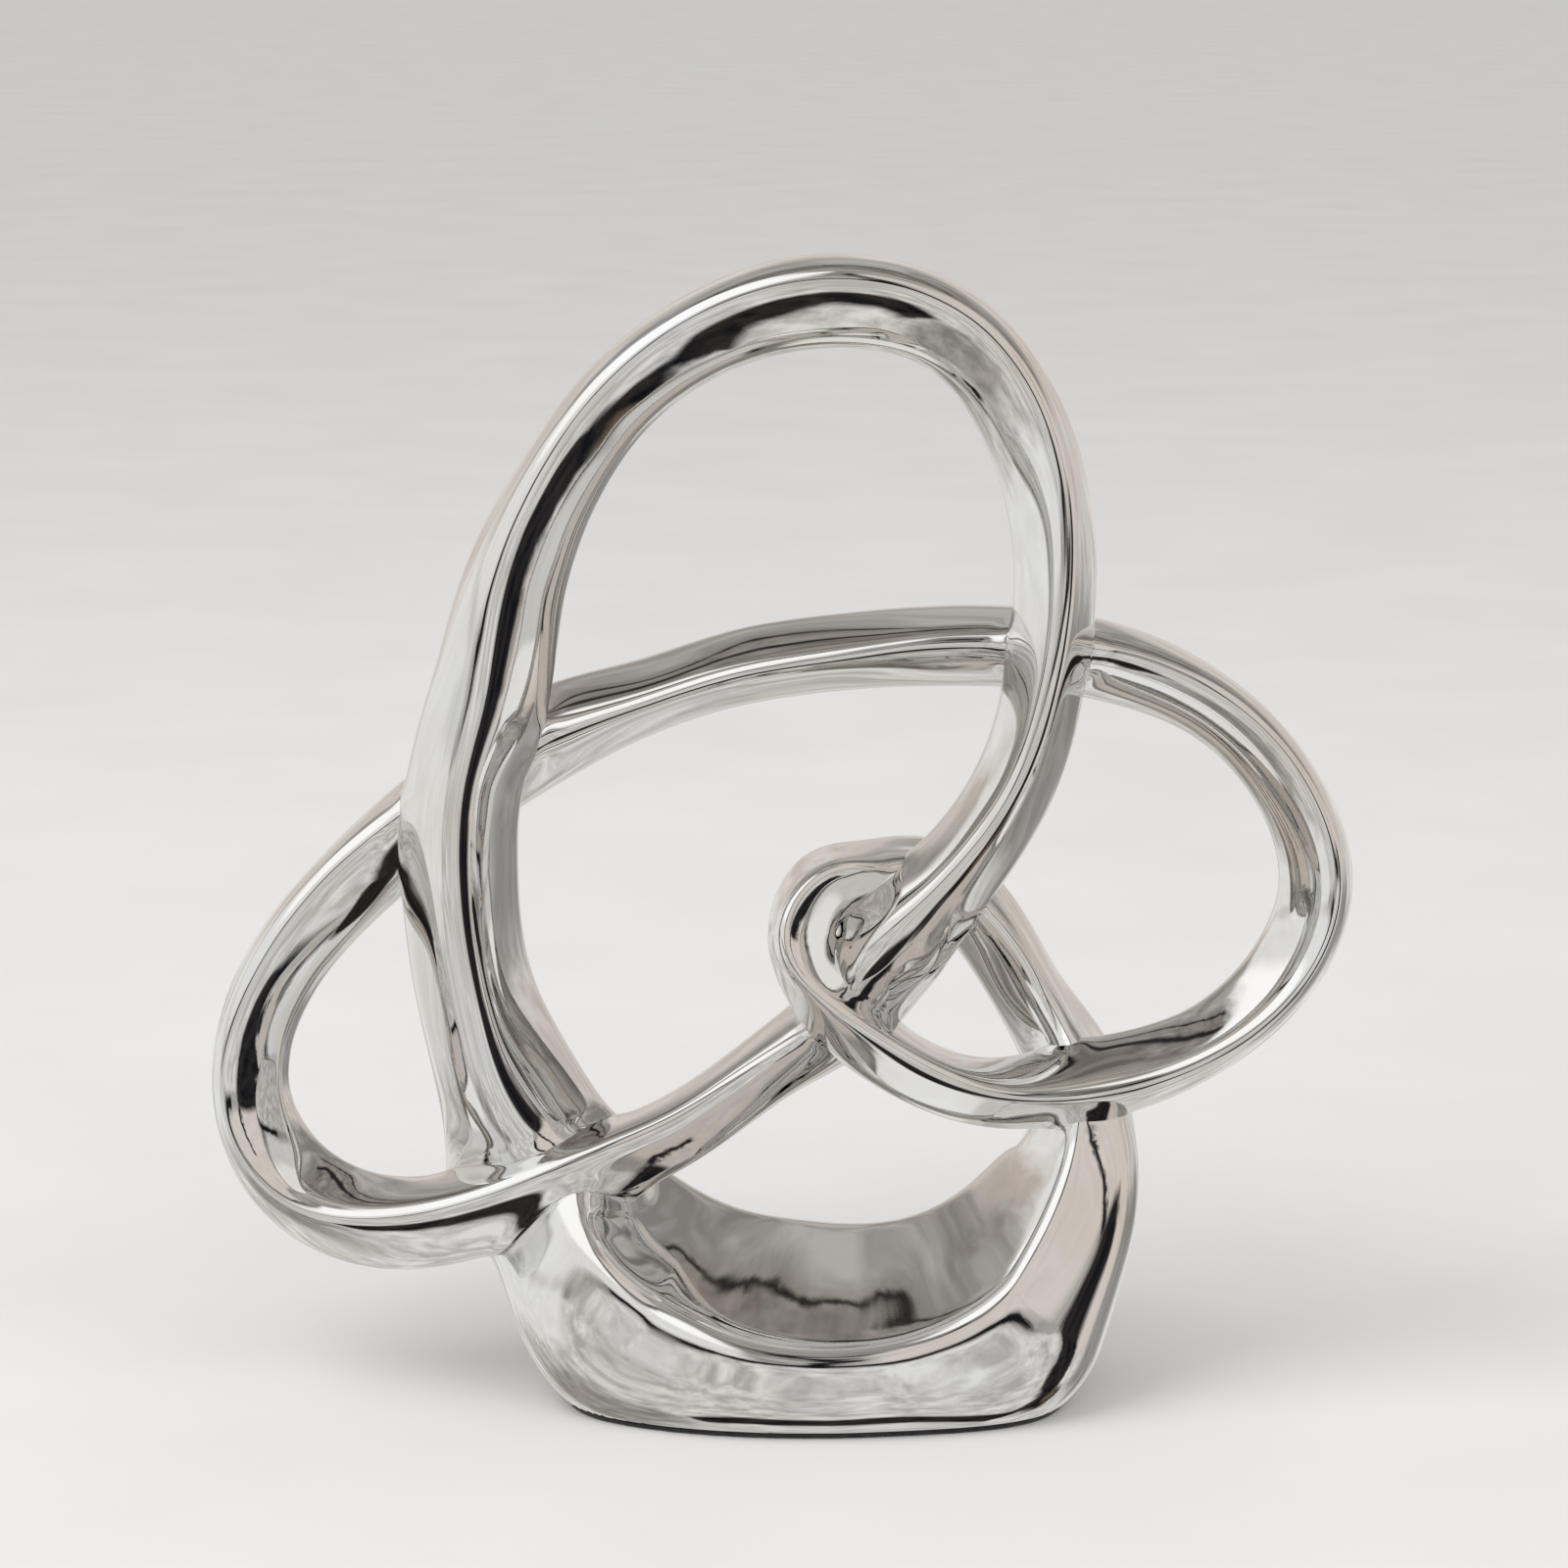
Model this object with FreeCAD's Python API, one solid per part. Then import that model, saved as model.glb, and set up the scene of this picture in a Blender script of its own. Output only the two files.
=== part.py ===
"""A knot sculpture of chromed cast aluminium, built the way a foundry would build it.

One strand of rounded-triangle section runs a closed route, loops over itself six times and widens into a hollow
foot. Wherever a stretch of strand passes under another it is cut to fit behind it, and its end butts against the
next stretch there on a steel dowel. A steel plate closes the foot from below, over a felt pad.
Millimetres, +Z up, the floor at zero, the front of the knot towards -Y, the middle of its box on the Z axis.
"""
import FreeCAD, Part
import math
import os

Vector = FreeCAD.Vector

# overall size of the box that the knot fills
WIDTH = 307.0
HEIGHT = 307.0
DEPTH = 89.0

# the strand where it is plain: across and from front to back
STRAND_WIDTH = 22.0
STRAND_DEPTH = 26.0

# the opening above the foot is round: its centre, and the distance from there to the middle of the foot's section
SADDLE_RADIUS = 80.0
SADDLE_X_SHARE = 0.030
SADDLE_Y_SHARE = 0.023
SADDLE_Z_SHARE = 0.313
EDGE_REACH = 9.0
EDGE_REACH_SHARE = 0.45
SADDLE_HOLLOW = 1.0
BACK_SWELL = 3.0
FRONT_SWELL = 0.5

# the hollow foot and what closes it
WALL = 6.0
FELT_THICKNESS = 2.0
FELT_INSET = 1.0
PLATE_THICKNESS = 2.5
PLATE_LIP = 3.5
PLATE_GAP = 0.2

# countersunk screws that hold the plate, and the posts that they go into
SCREW_DIAMETER = 4.0
SCREW_HEAD_DIAMETER = 8.0
SCREW_HEAD_HEIGHT = 2.2
SCREW_LENGTH = 12.0
SCREW_GAP = 0.1
POST_DIAMETER = 11.0
POST_SPREAD_X_SHARE = 0.58
POST_SPREAD_Y_SHARE = 0.36

# steel dowels across the butt joints
DOWEL_DIAMETER = 5.0
DOWEL_LENGTH = 18.0
DOWEL_GAP = 0.05
DOWEL_END_GAP = 0.5

# how far a cutter reaches past what it cuts, and how far round a crossing the upper stretch cuts the lower one
OVERRUN = 5.0
CROSSING_REACH = 34.0

# the section: a closed smooth curve on twelve poles; the share rounds a circle towards a triangle
POLE_COUNT = 12
TRIANGLE_SHARE = 0.18
OUTLINE_COUNT = 72

# stations of the route, in the order of travel, each list from one crossing to the next: x as a share of WIDTH,
# y of DEPTH, z of HEIGHT, half width and half depth of STRAND_WIDTH and STRAND_DEPTH, then the turn in degrees
# that carries the front ridge towards the outside of the bend (minus) or the inside (plus)
TALL_LOOP_SHARES = [
    (-0.199, 0.055, 0.181, 2.180, 1.200, 10),
    (-0.234, 0.034, 0.254, 1.773, 1.154, 0),
    (-0.267, -0.023, 0.364, 1.382, 1.077, 0),
    (-0.278, -0.057, 0.462, 1.364, 1.077, -3),
    (-0.273, -0.068, 0.549, 1.345, 1.077, -5),
    (-0.251, -0.057, 0.634, 1.364, 1.077, -10),
    (-0.233, -0.034, 0.717, 1.236, 1.077, -16),
    (-0.197, -0.011, 0.802, 1.055, 1.038, -22),
    (-0.141, 0.000, 0.881, 0.991, 1.000, -25),
    (-0.065, 0.011, 0.938, 1.036, 1.000, -26),
    (0.052, 0.011, 0.967, 1.109, 1.000, -26),
    (0.153, 0.000, 0.937, 1.045, 1.000, -25),
    (0.214, -0.023, 0.856, 1.027, 1.000, -20),
    (0.237, -0.057, 0.751, 0.973, 1.000, -9),
    (0.227, -0.091, 0.636, 0.945, 1.000, 0),
    (0.201, -0.091, 0.550, 0.955, 1.000, 8),
    (0.171, -0.091, 0.500, 1.000, 1.000, 12),
    (0.136, -0.080, 0.456, 1.120, 1.000, 14),
    (0.090, -0.045, 0.402, 1.364, 1.000, 14),
]
LEFT_LOOP_SHARES = [
    (0.051, 0.068, 0.335, 1.091, 1.000, 18),
    (-0.005, 0.091, 0.292, 0.855, 0.923, 26),
    (-0.082, 0.023, 0.243, 0.855, 0.923, 33),
    (-0.167, -0.057, 0.208, 0.945, 0.923, 33),
    (-0.253, -0.068, 0.175, 1.036, 0.962, 30),
    (-0.340, -0.045, 0.157, 1.091, 1.000, 24),
    (-0.427, 0.011, 0.182, 1.091, 1.000, 0),
    (-0.470, 0.057, 0.261, 0.964, 1.000, -20),
    (-0.451, 0.091, 0.357, 0.964, 1.000, -24),
    (-0.375, 0.125, 0.456, 1.036, 1.000, -30),
    (-0.319, 0.140, 0.504, 1.075, 1.000, -25),
]
CROSS_BAR_SHARES = [
    (-0.264, 0.148, 0.543, 1.091, 1.000, -18),
    (-0.197, 0.148, 0.582, 1.091, 1.000, -10),
    (-0.123, 0.136, 0.611, 0.891, 1.000, -8),
    (-0.039, 0.136, 0.638, 0.873, 1.000, -8),
    (0.047, 0.136, 0.652, 0.891, 1.000, -10),
    (0.131, 0.136, 0.660, 0.927, 1.000, -16),
]
RIGHT_LOOP_SHARES = [
    (0.225, 0.136, 0.658, 0.945, 1.000, -18),
    (0.301, 0.114, 0.645, 0.927, 1.000, -25),
    (0.370, 0.080, 0.616, 0.836, 1.000, -28),
    (0.442, 0.045, 0.544, 0.845, 1.000, -25),
    (0.470, 0.011, 0.453, 0.891, 1.000, -13),
    (0.445, -0.011, 0.382, 0.891, 1.000, -6),
    (0.365, -0.057, 0.314, 0.836, 1.000, 4),
    (0.261, -0.091, 0.283, 0.945, 1.000, 8),
    (0.174, -0.102, 0.280, 0.764, 1.000, 28),
    (0.095, -0.114, 0.316, 0.782, 1.000, 30),
    (0.035, -0.114, 0.372, 0.836, 1.000, 5),
    (0.014, -0.091, 0.421, 0.818, 1.000, -22),
    (0.036, -0.023, 0.456, 0.818, 1.000, -30),
    (0.079, 0.068, 0.461, 0.855, 1.000, -30),
]
SHORT_STRUT_SHARES = [
    (0.137, 0.148, 0.453, 0.909, 0.923, -20),
    (0.187, 0.159, 0.408, 0.909, 0.923, -20),
    (0.225, 0.159, 0.346, 0.891, 0.923, -20),
]
BASE_START_SHARES = [
    (0.263, 0.125, 0.267, 1.136, 1.320, -4),
]

# slices of the foot about the centre of its opening: the slice's angle in degrees from straight down, then front
# ridge and back rim, each as y (share of DEPTH) and distance from the centre (share of SADDLE_RADIUS), then back
# foot, front foot and how far the slice reaches outwards between them, all three with the distance as a share of
# the centre's height
BASE_SLICE_SHARES = [
    (62, -0.215, 0.914, 0.255, 0.745, 0.240, 0.994, -0.175, 1.004, 1.041),
    (48, -0.350, 0.944, 0.275, 0.765, 0.300, 1.085, -0.315, 1.100, 1.162),
    (34, -0.440, 0.943, 0.295, 0.760, 0.345, 1.184, -0.415, 1.184, 1.242),
    (18, -0.494, 0.912, 0.312, 0.738, 0.490, 1.092, -0.505, 1.092, 1.145),
    (0, -0.516, 0.888, 0.318, 0.700, 0.538, 1.051, -0.526, 1.051, 1.103),
    (-18, -0.494, 0.894, 0.273, 0.681, 0.490, 1.092, -0.505, 1.092, 1.145),
    (-34, -0.430, 0.916, 0.227, 0.675, 0.330, 1.176, -0.390, 1.176, 1.234),
    (-47, -0.350, 0.936, 0.193, 0.681, 0.210, 1.085, -0.275, 1.110, 1.170),
]
# the foot is hollow where its slices are turned no further from straight down than this, in degrees
HOLLOW_TURN = 40.0

# where each stretch begins, as the crossing that it leaves; the dowel there lies behind the route by a share of
# the section's half depth
DOWEL_BACK_SHARE = 0.42
# how far a stretch is run on past its crossings before it is cut off there, as a share of a step between stations
RUN_ON_SHARE = 0.25


def damping(order):
    """how much a smooth closed curve on twelve poles shrinks a wave of this order"""
    return (2.0 + math.cos(order * 2.0 * math.pi / POLE_COUNT)) / 3.0


def strand_poles(half_width, half_depth, turn):
    """poles (front, inside) of a rounded triangle with a corner in front, turned about the route"""
    cosine = math.cos(math.radians(turn))
    sine = math.sin(math.radians(turn))
    poles = []
    for step in range(POLE_COUNT):
        angle = step * 2.0 * math.pi / POLE_COUNT
        front = math.cos(angle) / damping(1) + TRIANGLE_SHARE * math.cos(2.0 * angle) / damping(2)
        inside = math.sin(angle) / damping(1) - TRIANGLE_SHARE * math.sin(2.0 * angle) / damping(2)
        poles.append(((front * cosine - inside * sine) * half_depth,
                      (front * sine + inside * cosine) * half_width))
    return poles


def between(first, second, share):
    """the point that lies this share of the way from first to second"""
    return tuple(a + (b - a) * share for a, b in zip(first, second))


def stepped(first, second, distance):
    """the point this far from first towards second, but short of halfway"""
    return between(first, second, min(distance / math.dist(first, second), EDGE_REACH_SHARE))


def slice_poles(row, inset=0.0, deeper=0.0):
    """poles (front, inside) of one slice of the foot; an inset gives the hollow inside it, with deeper feet"""
    middle = SADDLE_Y_SHARE * DEPTH
    reach = SADDLE_Z_SHARE * HEIGHT
    angle, ridge_y, ridge_r, rim_y, rim_r, back_y, back_r, front_y, front_r, keel_r = row

    def corner(y_share, distance, y_shift, sink=0.0):
        return (middle - y_share * DEPTH - y_shift, SADDLE_RADIUS - distance - inset - sink)

    ridge = corner(ridge_y, ridge_r * SADDLE_RADIUS, inset)
    rim = corner(rim_y, rim_r * SADDLE_RADIUS, -inset)
    back = corner(back_y, back_r * reach, -inset, deeper)
    front = corner(front_y, front_r * reach, inset, deeper)
    keel = corner((back_y + front_y) / 2.0, keel_r * reach, 0.0, deeper)
    saddle = between(ridge, rim, 0.5)
    saddle = (saddle[0], saddle[1] + SADDLE_HOLLOW)
    rear = between(rim, back, 0.5)
    rear = (rear[0] - BACK_SWELL, rear[1])
    face = between(ridge, front, 0.5)
    face = (face[0] + FRONT_SWELL, face[1])
    return [ridge, stepped(ridge, saddle, EDGE_REACH), saddle, stepped(rim, saddle, EDGE_REACH), rim,
            stepped(rim, rear, EDGE_REACH), rear, stepped(back, rear, EDGE_REACH), back, keel, front,
            stepped(ridge, face, EDGE_REACH)]


def strand_station(row):
    """the place and the poles of one station of plain strand"""
    x_share, y_share, z_share, width_share, depth_share, turn = row
    place = (x_share * WIDTH, y_share * DEPTH, z_share * HEIGHT)
    return place, strand_poles(width_share * STRAND_WIDTH / 2.0, depth_share * STRAND_DEPTH / 2.0, turn)


def slice_place(row):
    """the point of the route that a slice of the foot is drawn about"""
    angle = math.radians(row[0])
    return (SADDLE_X_SHARE * WIDTH + SADDLE_RADIUS * math.sin(angle), SADDLE_Y_SHARE * DEPTH,
            SADDLE_Z_SHARE * HEIGHT - SADDLE_RADIUS * math.cos(angle))


def solve_closed(lower, middle, upper, right):
    """solves the closed chain lower*before + middle*own + upper*after = right for lists of values"""
    count = len(middle)
    rows = []
    for place in range(count):
        row = [0.0] * count
        row[place - 1] += lower[place]
        row[place] += middle[place]
        row[(place + 1) % count] += upper[place]
        rows.append(row + list(right[place]))
    for pivot in range(count):
        best = max(range(pivot, count), key=lambda index: abs(rows[index][pivot]))
        rows[pivot], rows[best] = rows[best], rows[pivot]
        scale = rows[pivot][pivot]
        rows[pivot] = [value / scale for value in rows[pivot]]
        for index in range(count):
            factor = rows[index][pivot]
            if index != pivot and factor:
                rows[index] = [value - factor * own for value, own in zip(rows[index], rows[pivot])]
    return [row[count:] for row in rows]


class Route:
    """the closed route: at any place along it, its centre, its frame and the poles of its section"""

    def __init__(self):
        self.stations = []
        self.starts = {}
        for name, rows in (("tall_loop", TALL_LOOP_SHARES), ("left_loop", LEFT_LOOP_SHARES),
                           ("cross_bar", CROSS_BAR_SHARES), ("right_loop", RIGHT_LOOP_SHARES),
                           ("short_strut", SHORT_STRUT_SHARES), ("base_body", BASE_START_SHARES)):
            self.starts[name] = len(self.stations)
            self.stations += [strand_station(row) for row in rows]
        self.first_slice = len(self.stations)
        self.stations += [(slice_place(row), slice_poles(row)) for row in BASE_SLICE_SHARES]
        self.count = len(self.stations)
        self.values = [list(place) + [value for pole in poles for value in pole]
                       for place, poles in self.stations]
        self.spans = [math.dist(self.stations[index][0], self.stations[(index + 1) % self.count][0])
                      for index in range(self.count)]
        self.slopes = self.smooth_slopes()

    def smooth_slopes(self):
        """slopes at the stations that make the curve through them smooth to the second order"""
        right = []
        for index in range(self.count):
            before = self.spans[index - 1]
            after = self.spans[index]
            last = self.values[index - 1]
            own = self.values[index]
            following = self.values[(index + 1) % self.count]
            right.append([3.0 * (before * (c - b) / after + after * (b - a) / before)
                          for a, b, c in zip(last, own, following)])
        lower = self.spans
        upper = [self.spans[index - 1] for index in range(self.count)]
        middle = [2.0 * (a + b) for a, b in zip(lower, upper)]
        return solve_closed(lower, middle, upper, right)

    def at(self, place):
        """centre, direction, front, inside and poles at a place counted in stations"""
        index = int(math.floor(place)) % self.count
        share = place - math.floor(place)
        span = self.spans[index]
        following = (index + 1) % self.count
        ends = zip(self.values[index], self.slopes[index], self.values[following], self.slopes[following])
        values = []
        rates = []
        for start, start_slope, end, end_slope in ends:
            cube = 2.0 * (start - end) + span * (start_slope + end_slope)
            square = 3.0 * (end - start) - span * (2.0 * start_slope + end_slope)
            values.append(((cube * share + square) * share + span * start_slope) * share + start)
            rates.append((3.0 * cube * share + 2.0 * square) * share + span * start_slope)
        centre = Vector(*values[:3])
        direction = Vector(*rates[:3]).normalize()
        front = Vector(0, -1, 0)
        front = (front - direction * front.dot(direction)).normalize()
        inside = direction.cross(front)
        poles = [(values[3 + 2 * step], values[4 + 2 * step]) for step in range(POLE_COUNT)]
        return centre, direction, front, inside, poles


def closed_curve(points):
    """the smooth closed curve on evenly knotted poles"""
    curve = Part.BSplineCurve()
    curve.buildFromPolesMultsKnots(points, [1] * (len(points) + 1), list(range(len(points) + 1)), True, 3)
    return Part.Wire([curve.toShape()])


def section_ring(route, place, poles=None):
    """the poles of the strand's section at a place of the route, as points in space"""
    centre, direction, front, inside, own_poles = route.at(place)
    return [centre + front * a + inside * b for a, b in poles or own_poles]


def skin(rings):
    """a solid whose side is the smooth surface through rings of poles, with a flat face at each end"""
    steps = [0.0]
    for before, after in zip(rings, rings[1:]):
        steps.append(steps[-1] + sum(a.distanceToPoint(b) for a, b in zip(before, after)) / POLE_COUNT)
    tracks = []
    for track in zip(*rings):
        curve = Part.BSplineCurve()
        curve.interpolate(Points=list(track), Parameters=steps)
        tracks.append(curve)
    poles = [list(ring) for ring in zip(*[curve.getPoles() for curve in tracks])]
    surface = Part.BSplineSurface()
    surface.buildFromPolesMultsKnots(poles, tracks[0].getMultiplicities(), [1] * (POLE_COUNT + 1),
                                     tracks[0].getKnots(), list(range(POLE_COUNT + 1)), False, True, 3, 3)
    side = surface.toShape()
    ends = [Part.Face(closed_curve(rings[0])), Part.Face(closed_curve(rings[-1]))]
    shell = Part.Shell([side] + ends)
    shell.sewShape()
    solid = Part.Solid(shell)
    if solid.Volume < 0:
        solid.reverse()
    return solid


def stretch(route, first, last):
    """the strand as a solid through rings at and halfway between stations, run on a little past both crossings"""
    steps = 2 * (last - first)
    places = [first - RUN_ON_SHARE] + [first + step / 2.0 for step in range(steps + 1)] + [last + RUN_ON_SHARE]
    return skin([section_ring(route, place) for place in places])


def run_on(route, crossing, way):
    """a round block over all that a stretch has past a crossing, ahead of it (way 1) or behind it (way -1)"""
    centre, direction, front, inside, poles = route.at(crossing)
    reach = [point - centre for point in section_ring(route, crossing + way * RUN_ON_SHARE)]
    length = max(step.dot(direction) * way for step in reach) + OVERRUN
    radius = max(step.cross(direction).Length for step in reach) + OVERRUN
    return Part.makeCylinder(radius, length, centre, direction * way)


def reach_box(centre):
    """a box round a crossing"""
    corner = centre - Vector(CROSSING_REACH, CROSSING_REACH, CROSSING_REACH)
    return Part.makeBox(2.0 * CROSSING_REACH, 2.0 * CROSSING_REACH, 2.0 * CROSSING_REACH, corner)


def dowel(route, crossing, radius, length):
    """a round bar along the route across a butt joint, behind the stretch that passes over"""
    centre, direction, front, inside, poles = route.at(crossing)
    half_depth = (poles[0][0] - poles[POLE_COUNT // 2][0]) / 2.0
    start = centre - front * (half_depth * DOWEL_BACK_SHARE) - direction * (length / 2.0)
    return Part.makeCylinder(radius, length, start, direction)


def foot_outline(blank, height):
    """points of the foot's outline at a height, and the middle and half size of its box"""
    wires = blank.slice(Vector(0, 0, 1), height)
    points = max(wires, key=lambda wire: wire.Length).discretize(Number=OUTLINE_COUNT + 1)[:-1]
    low = Vector(min(p.x for p in points), min(p.y for p in points), height)
    high = Vector(max(p.x for p in points), max(p.y for p in points), height)
    return points, (low + high) * 0.5, (high - low) * 0.5


def outline_slab(outline, inset, bottom, thickness):
    """a flat slab inside the foot's outline by an inset all round"""
    points, middle, half = outline
    placed = [Vector(middle.x + (p.x - middle.x) * (half.x - inset) / half.x,
                     middle.y + (p.y - middle.y) * (half.y - inset) / half.y, bottom) for p in points]
    return Part.Face(closed_curve(placed)).extrude(Vector(0, 0, thickness))


def screw_places(outline):
    """the middles of the four screws on the underside"""
    points, middle, half = outline
    return [Vector(middle.x + side * half.x * POST_SPREAD_X_SHARE,
                   middle.y + row * half.y * POST_SPREAD_Y_SHARE, FELT_THICKNESS)
            for side in (-1, 1) for row in (-1, 1)]


def screw(place, gap):
    """a countersunk screw with its head flush with the underside; a gap gives the hole for it"""
    up = Vector(0, 0, 1)
    head = Part.makeCone(SCREW_HEAD_DIAMETER / 2.0 + gap, SCREW_DIAMETER / 2.0 + gap, SCREW_HEAD_HEIGHT,
                         place, up)
    shank = Part.makeCylinder(SCREW_DIAMETER / 2.0 + gap, SCREW_LENGTH + gap, place, up)
    return head.fuse(shank).removeSplitter()


def base_hollow(route, outline):
    """the space inside the foot, open below, with the posts for the screws left standing"""
    rings = [section_ring(route, route.first_slice + index, slice_poles(row, WALL, WALL + OVERRUN))
             for index, row in enumerate(BASE_SLICE_SHARES) if abs(row[0]) < HOLLOW_TURN]
    hollow = skin(rings)
    above = Part.makeBox(WIDTH, DEPTH * 2.0, HEIGHT,
                         Vector(-WIDTH / 2.0, -DEPTH, FELT_THICKNESS + PLATE_THICKNESS - OVERRUN))
    hollow = hollow.common(above)
    for place in screw_places(outline):
        start = place + Vector(0, 0, PLATE_THICKNESS)
        hollow = hollow.cut(Part.makeCylinder(POST_DIAMETER / 2.0, HEIGHT, start, Vector(0, 0, 1)))
    return hollow


def base_body(blank, route, outline):
    """the foot: cut flat below, hollow, with a recess for the plate"""
    above = Part.makeBox(WIDTH, DEPTH * 2.0, HEIGHT, Vector(-WIDTH / 2.0, -DEPTH, FELT_THICKNESS))
    body = blank.common(above)
    body = body.cut(base_hollow(route, outline))
    recess = outline_slab(outline, PLATE_LIP, FELT_THICKNESS - OVERRUN, PLATE_THICKNESS + OVERRUN)
    body = body.cut(recess)
    for place in screw_places(outline):
        body = body.cut(screw(place, SCREW_GAP))
    return body


def base_plate(outline):
    """the plate that closes the foot, with its countersunk holes"""
    plate = outline_slab(outline, PLATE_LIP + PLATE_GAP, FELT_THICKNESS, PLATE_THICKNESS)
    for place in screw_places(outline):
        plate = plate.cut(screw(place, SCREW_GAP))
    return plate


def build():
    """every node of the sculpture, by name"""
    route = Route()
    starts = route.starts
    names = list(starts)
    ends = [starts[name] for name in names[1:]] + [route.count]
    blanks = {name: stretch(route, starts[name], end) for name, end in zip(names, ends)}
    outline = foot_outline(blanks["base_body"], FELT_THICKNESS)
    nodes = dict(blanks)
    nodes["base_body"] = base_body(blanks["base_body"], route, outline)

    # the stretch that passes over at the crossing where each stretch begins
    over = {"tall_loop": "left_loop", "left_loop": "right_loop", "cross_bar": "tall_loop",
            "right_loop": "tall_loop", "short_strut": "tall_loop", "base_body": "right_loop"}
    dowels = []
    for index, name in enumerate(names):
        crossing = starts[name]
        tool = blanks[over[name]].common(reach_box(route.at(crossing)[0]))
        bore = dowel(route, crossing, DOWEL_DIAMETER / 2.0 + DOWEL_GAP, DOWEL_LENGTH + 2.0 * DOWEL_END_GAP)
        for under, way in ((names[index - 1], 1), (name, -1)):
            nodes[under] = nodes[under].cut(tool).cut(run_on(route, crossing, way)).cut(bore)
        dowels.append(dowel(route, crossing, DOWEL_DIAMETER / 2.0, DOWEL_LENGTH))

    nodes["joint_dowels"] = Part.makeCompound(dowels)
    nodes["base_plate"] = base_plate(outline)
    nodes["plate_screws"] = Part.makeCompound([screw(place, 0.0) for place in screw_places(outline)])
    nodes["felt_pad"] = outline_slab(outline, FELT_INSET, 0.0, FELT_THICKNESS)
    return nodes


def main():
    os.makedirs("parts", exist_ok=True)
    for name, shape in build().items():
        shape.exportStep("parts/" + name + ".step")
        box = shape.optimalBoundingBox(False)
        print("%-13s solids %d valid %s volume %9.0f  x %6.1f %6.1f  y %6.1f %6.1f  z %6.1f %6.1f" % (
            name, len(shape.Solids), shape.isValid(), shape.Volume,
            box.XMin, box.XMax, box.YMin, box.YMax, box.ZMin, box.ZMax))


if __name__ == "__main__":
    main()
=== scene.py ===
"""The chromed knot sculpture, dressed for its picture.

The six castings are drawn as smooth grids round the same closed route that the CAD model follows, and where one
strand passes over another the two surfaces flow into each other in a fillet, as they do on the real casting. The
felt pad gets its soft edge. The steel parts inside keep their CAD shape and get their finishes.
Lengths are in millimetres until a mesh is made, then metres.
"""
import logging
import math
from dataclasses import dataclass, field
from enum import Enum

import bpy
import numpy as np
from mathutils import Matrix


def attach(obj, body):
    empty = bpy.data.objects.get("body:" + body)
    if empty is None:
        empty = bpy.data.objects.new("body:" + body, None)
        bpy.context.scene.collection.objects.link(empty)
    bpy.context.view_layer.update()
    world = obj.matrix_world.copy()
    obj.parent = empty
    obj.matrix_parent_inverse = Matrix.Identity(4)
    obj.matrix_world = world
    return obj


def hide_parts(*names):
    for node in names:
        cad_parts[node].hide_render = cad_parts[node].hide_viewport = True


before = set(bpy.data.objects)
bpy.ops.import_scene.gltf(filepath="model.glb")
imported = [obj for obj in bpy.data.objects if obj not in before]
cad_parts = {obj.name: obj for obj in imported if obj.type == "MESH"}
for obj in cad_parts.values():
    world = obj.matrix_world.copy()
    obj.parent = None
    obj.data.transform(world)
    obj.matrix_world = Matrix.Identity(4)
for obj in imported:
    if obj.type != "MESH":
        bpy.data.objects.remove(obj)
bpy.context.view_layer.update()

LOG = logging.getLogger("knot")
MM = 0.001
POLE_COUNT = 12
# where the values of a noise texture mostly lie
NOISE_RANGE = (0.3, 0.7)

Array = np.ndarray
Piece = bpy.types.Object
Tree = bpy.types.NodeTree
Socket = bpy.types.NodeSocket
Pair = tuple[float, float]
Triple = tuple[float, float, float]

# stations of the route in the order of travel: x, y, z as shares of the width, depth and height, half width and
# half depth as shares of the plain strand's, and the turn of the section in degrees
TALL_LOOP = (
    (-0.199, 0.055, 0.181, 2.180, 1.200, 10), (-0.234, 0.034, 0.254, 1.773, 1.154, 0),
    (-0.267, -0.023, 0.364, 1.382, 1.077, 0), (-0.278, -0.057, 0.462, 1.364, 1.077, -3),
    (-0.273, -0.068, 0.549, 1.345, 1.077, -5), (-0.251, -0.057, 0.634, 1.364, 1.077, -10),
    (-0.233, -0.034, 0.717, 1.236, 1.077, -16), (-0.197, -0.011, 0.802, 1.055, 1.038, -22),
    (-0.141, 0.000, 0.881, 0.991, 1.000, -25), (-0.065, 0.011, 0.938, 1.036, 1.000, -26),
    (0.052, 0.011, 0.967, 1.109, 1.000, -26), (0.153, 0.000, 0.937, 1.045, 1.000, -25),
    (0.214, -0.023, 0.856, 1.027, 1.000, -20), (0.237, -0.057, 0.751, 0.973, 1.000, -9),
    (0.227, -0.091, 0.636, 0.945, 1.000, 0), (0.201, -0.091, 0.550, 0.955, 1.000, 8),
    (0.171, -0.091, 0.500, 1.000, 1.000, 12), (0.136, -0.080, 0.456, 1.120, 1.000, 14),
    (0.090, -0.045, 0.402, 1.364, 1.000, 14),
)
LEFT_LOOP = (
    (0.051, 0.068, 0.335, 1.091, 1.000, 18), (-0.005, 0.091, 0.292, 0.855, 0.923, 26),
    (-0.082, 0.023, 0.243, 0.855, 0.923, 33), (-0.167, -0.057, 0.208, 0.945, 0.923, 33),
    (-0.253, -0.068, 0.175, 1.036, 0.962, 30), (-0.340, -0.045, 0.157, 1.091, 1.000, 24),
    (-0.427, 0.011, 0.182, 1.091, 1.000, 0), (-0.470, 0.057, 0.261, 0.964, 1.000, -20),
    (-0.451, 0.091, 0.357, 0.964, 1.000, -24), (-0.375, 0.125, 0.456, 1.036, 1.000, -30),
    (-0.319, 0.140, 0.504, 1.075, 1.000, -25),
)
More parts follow.
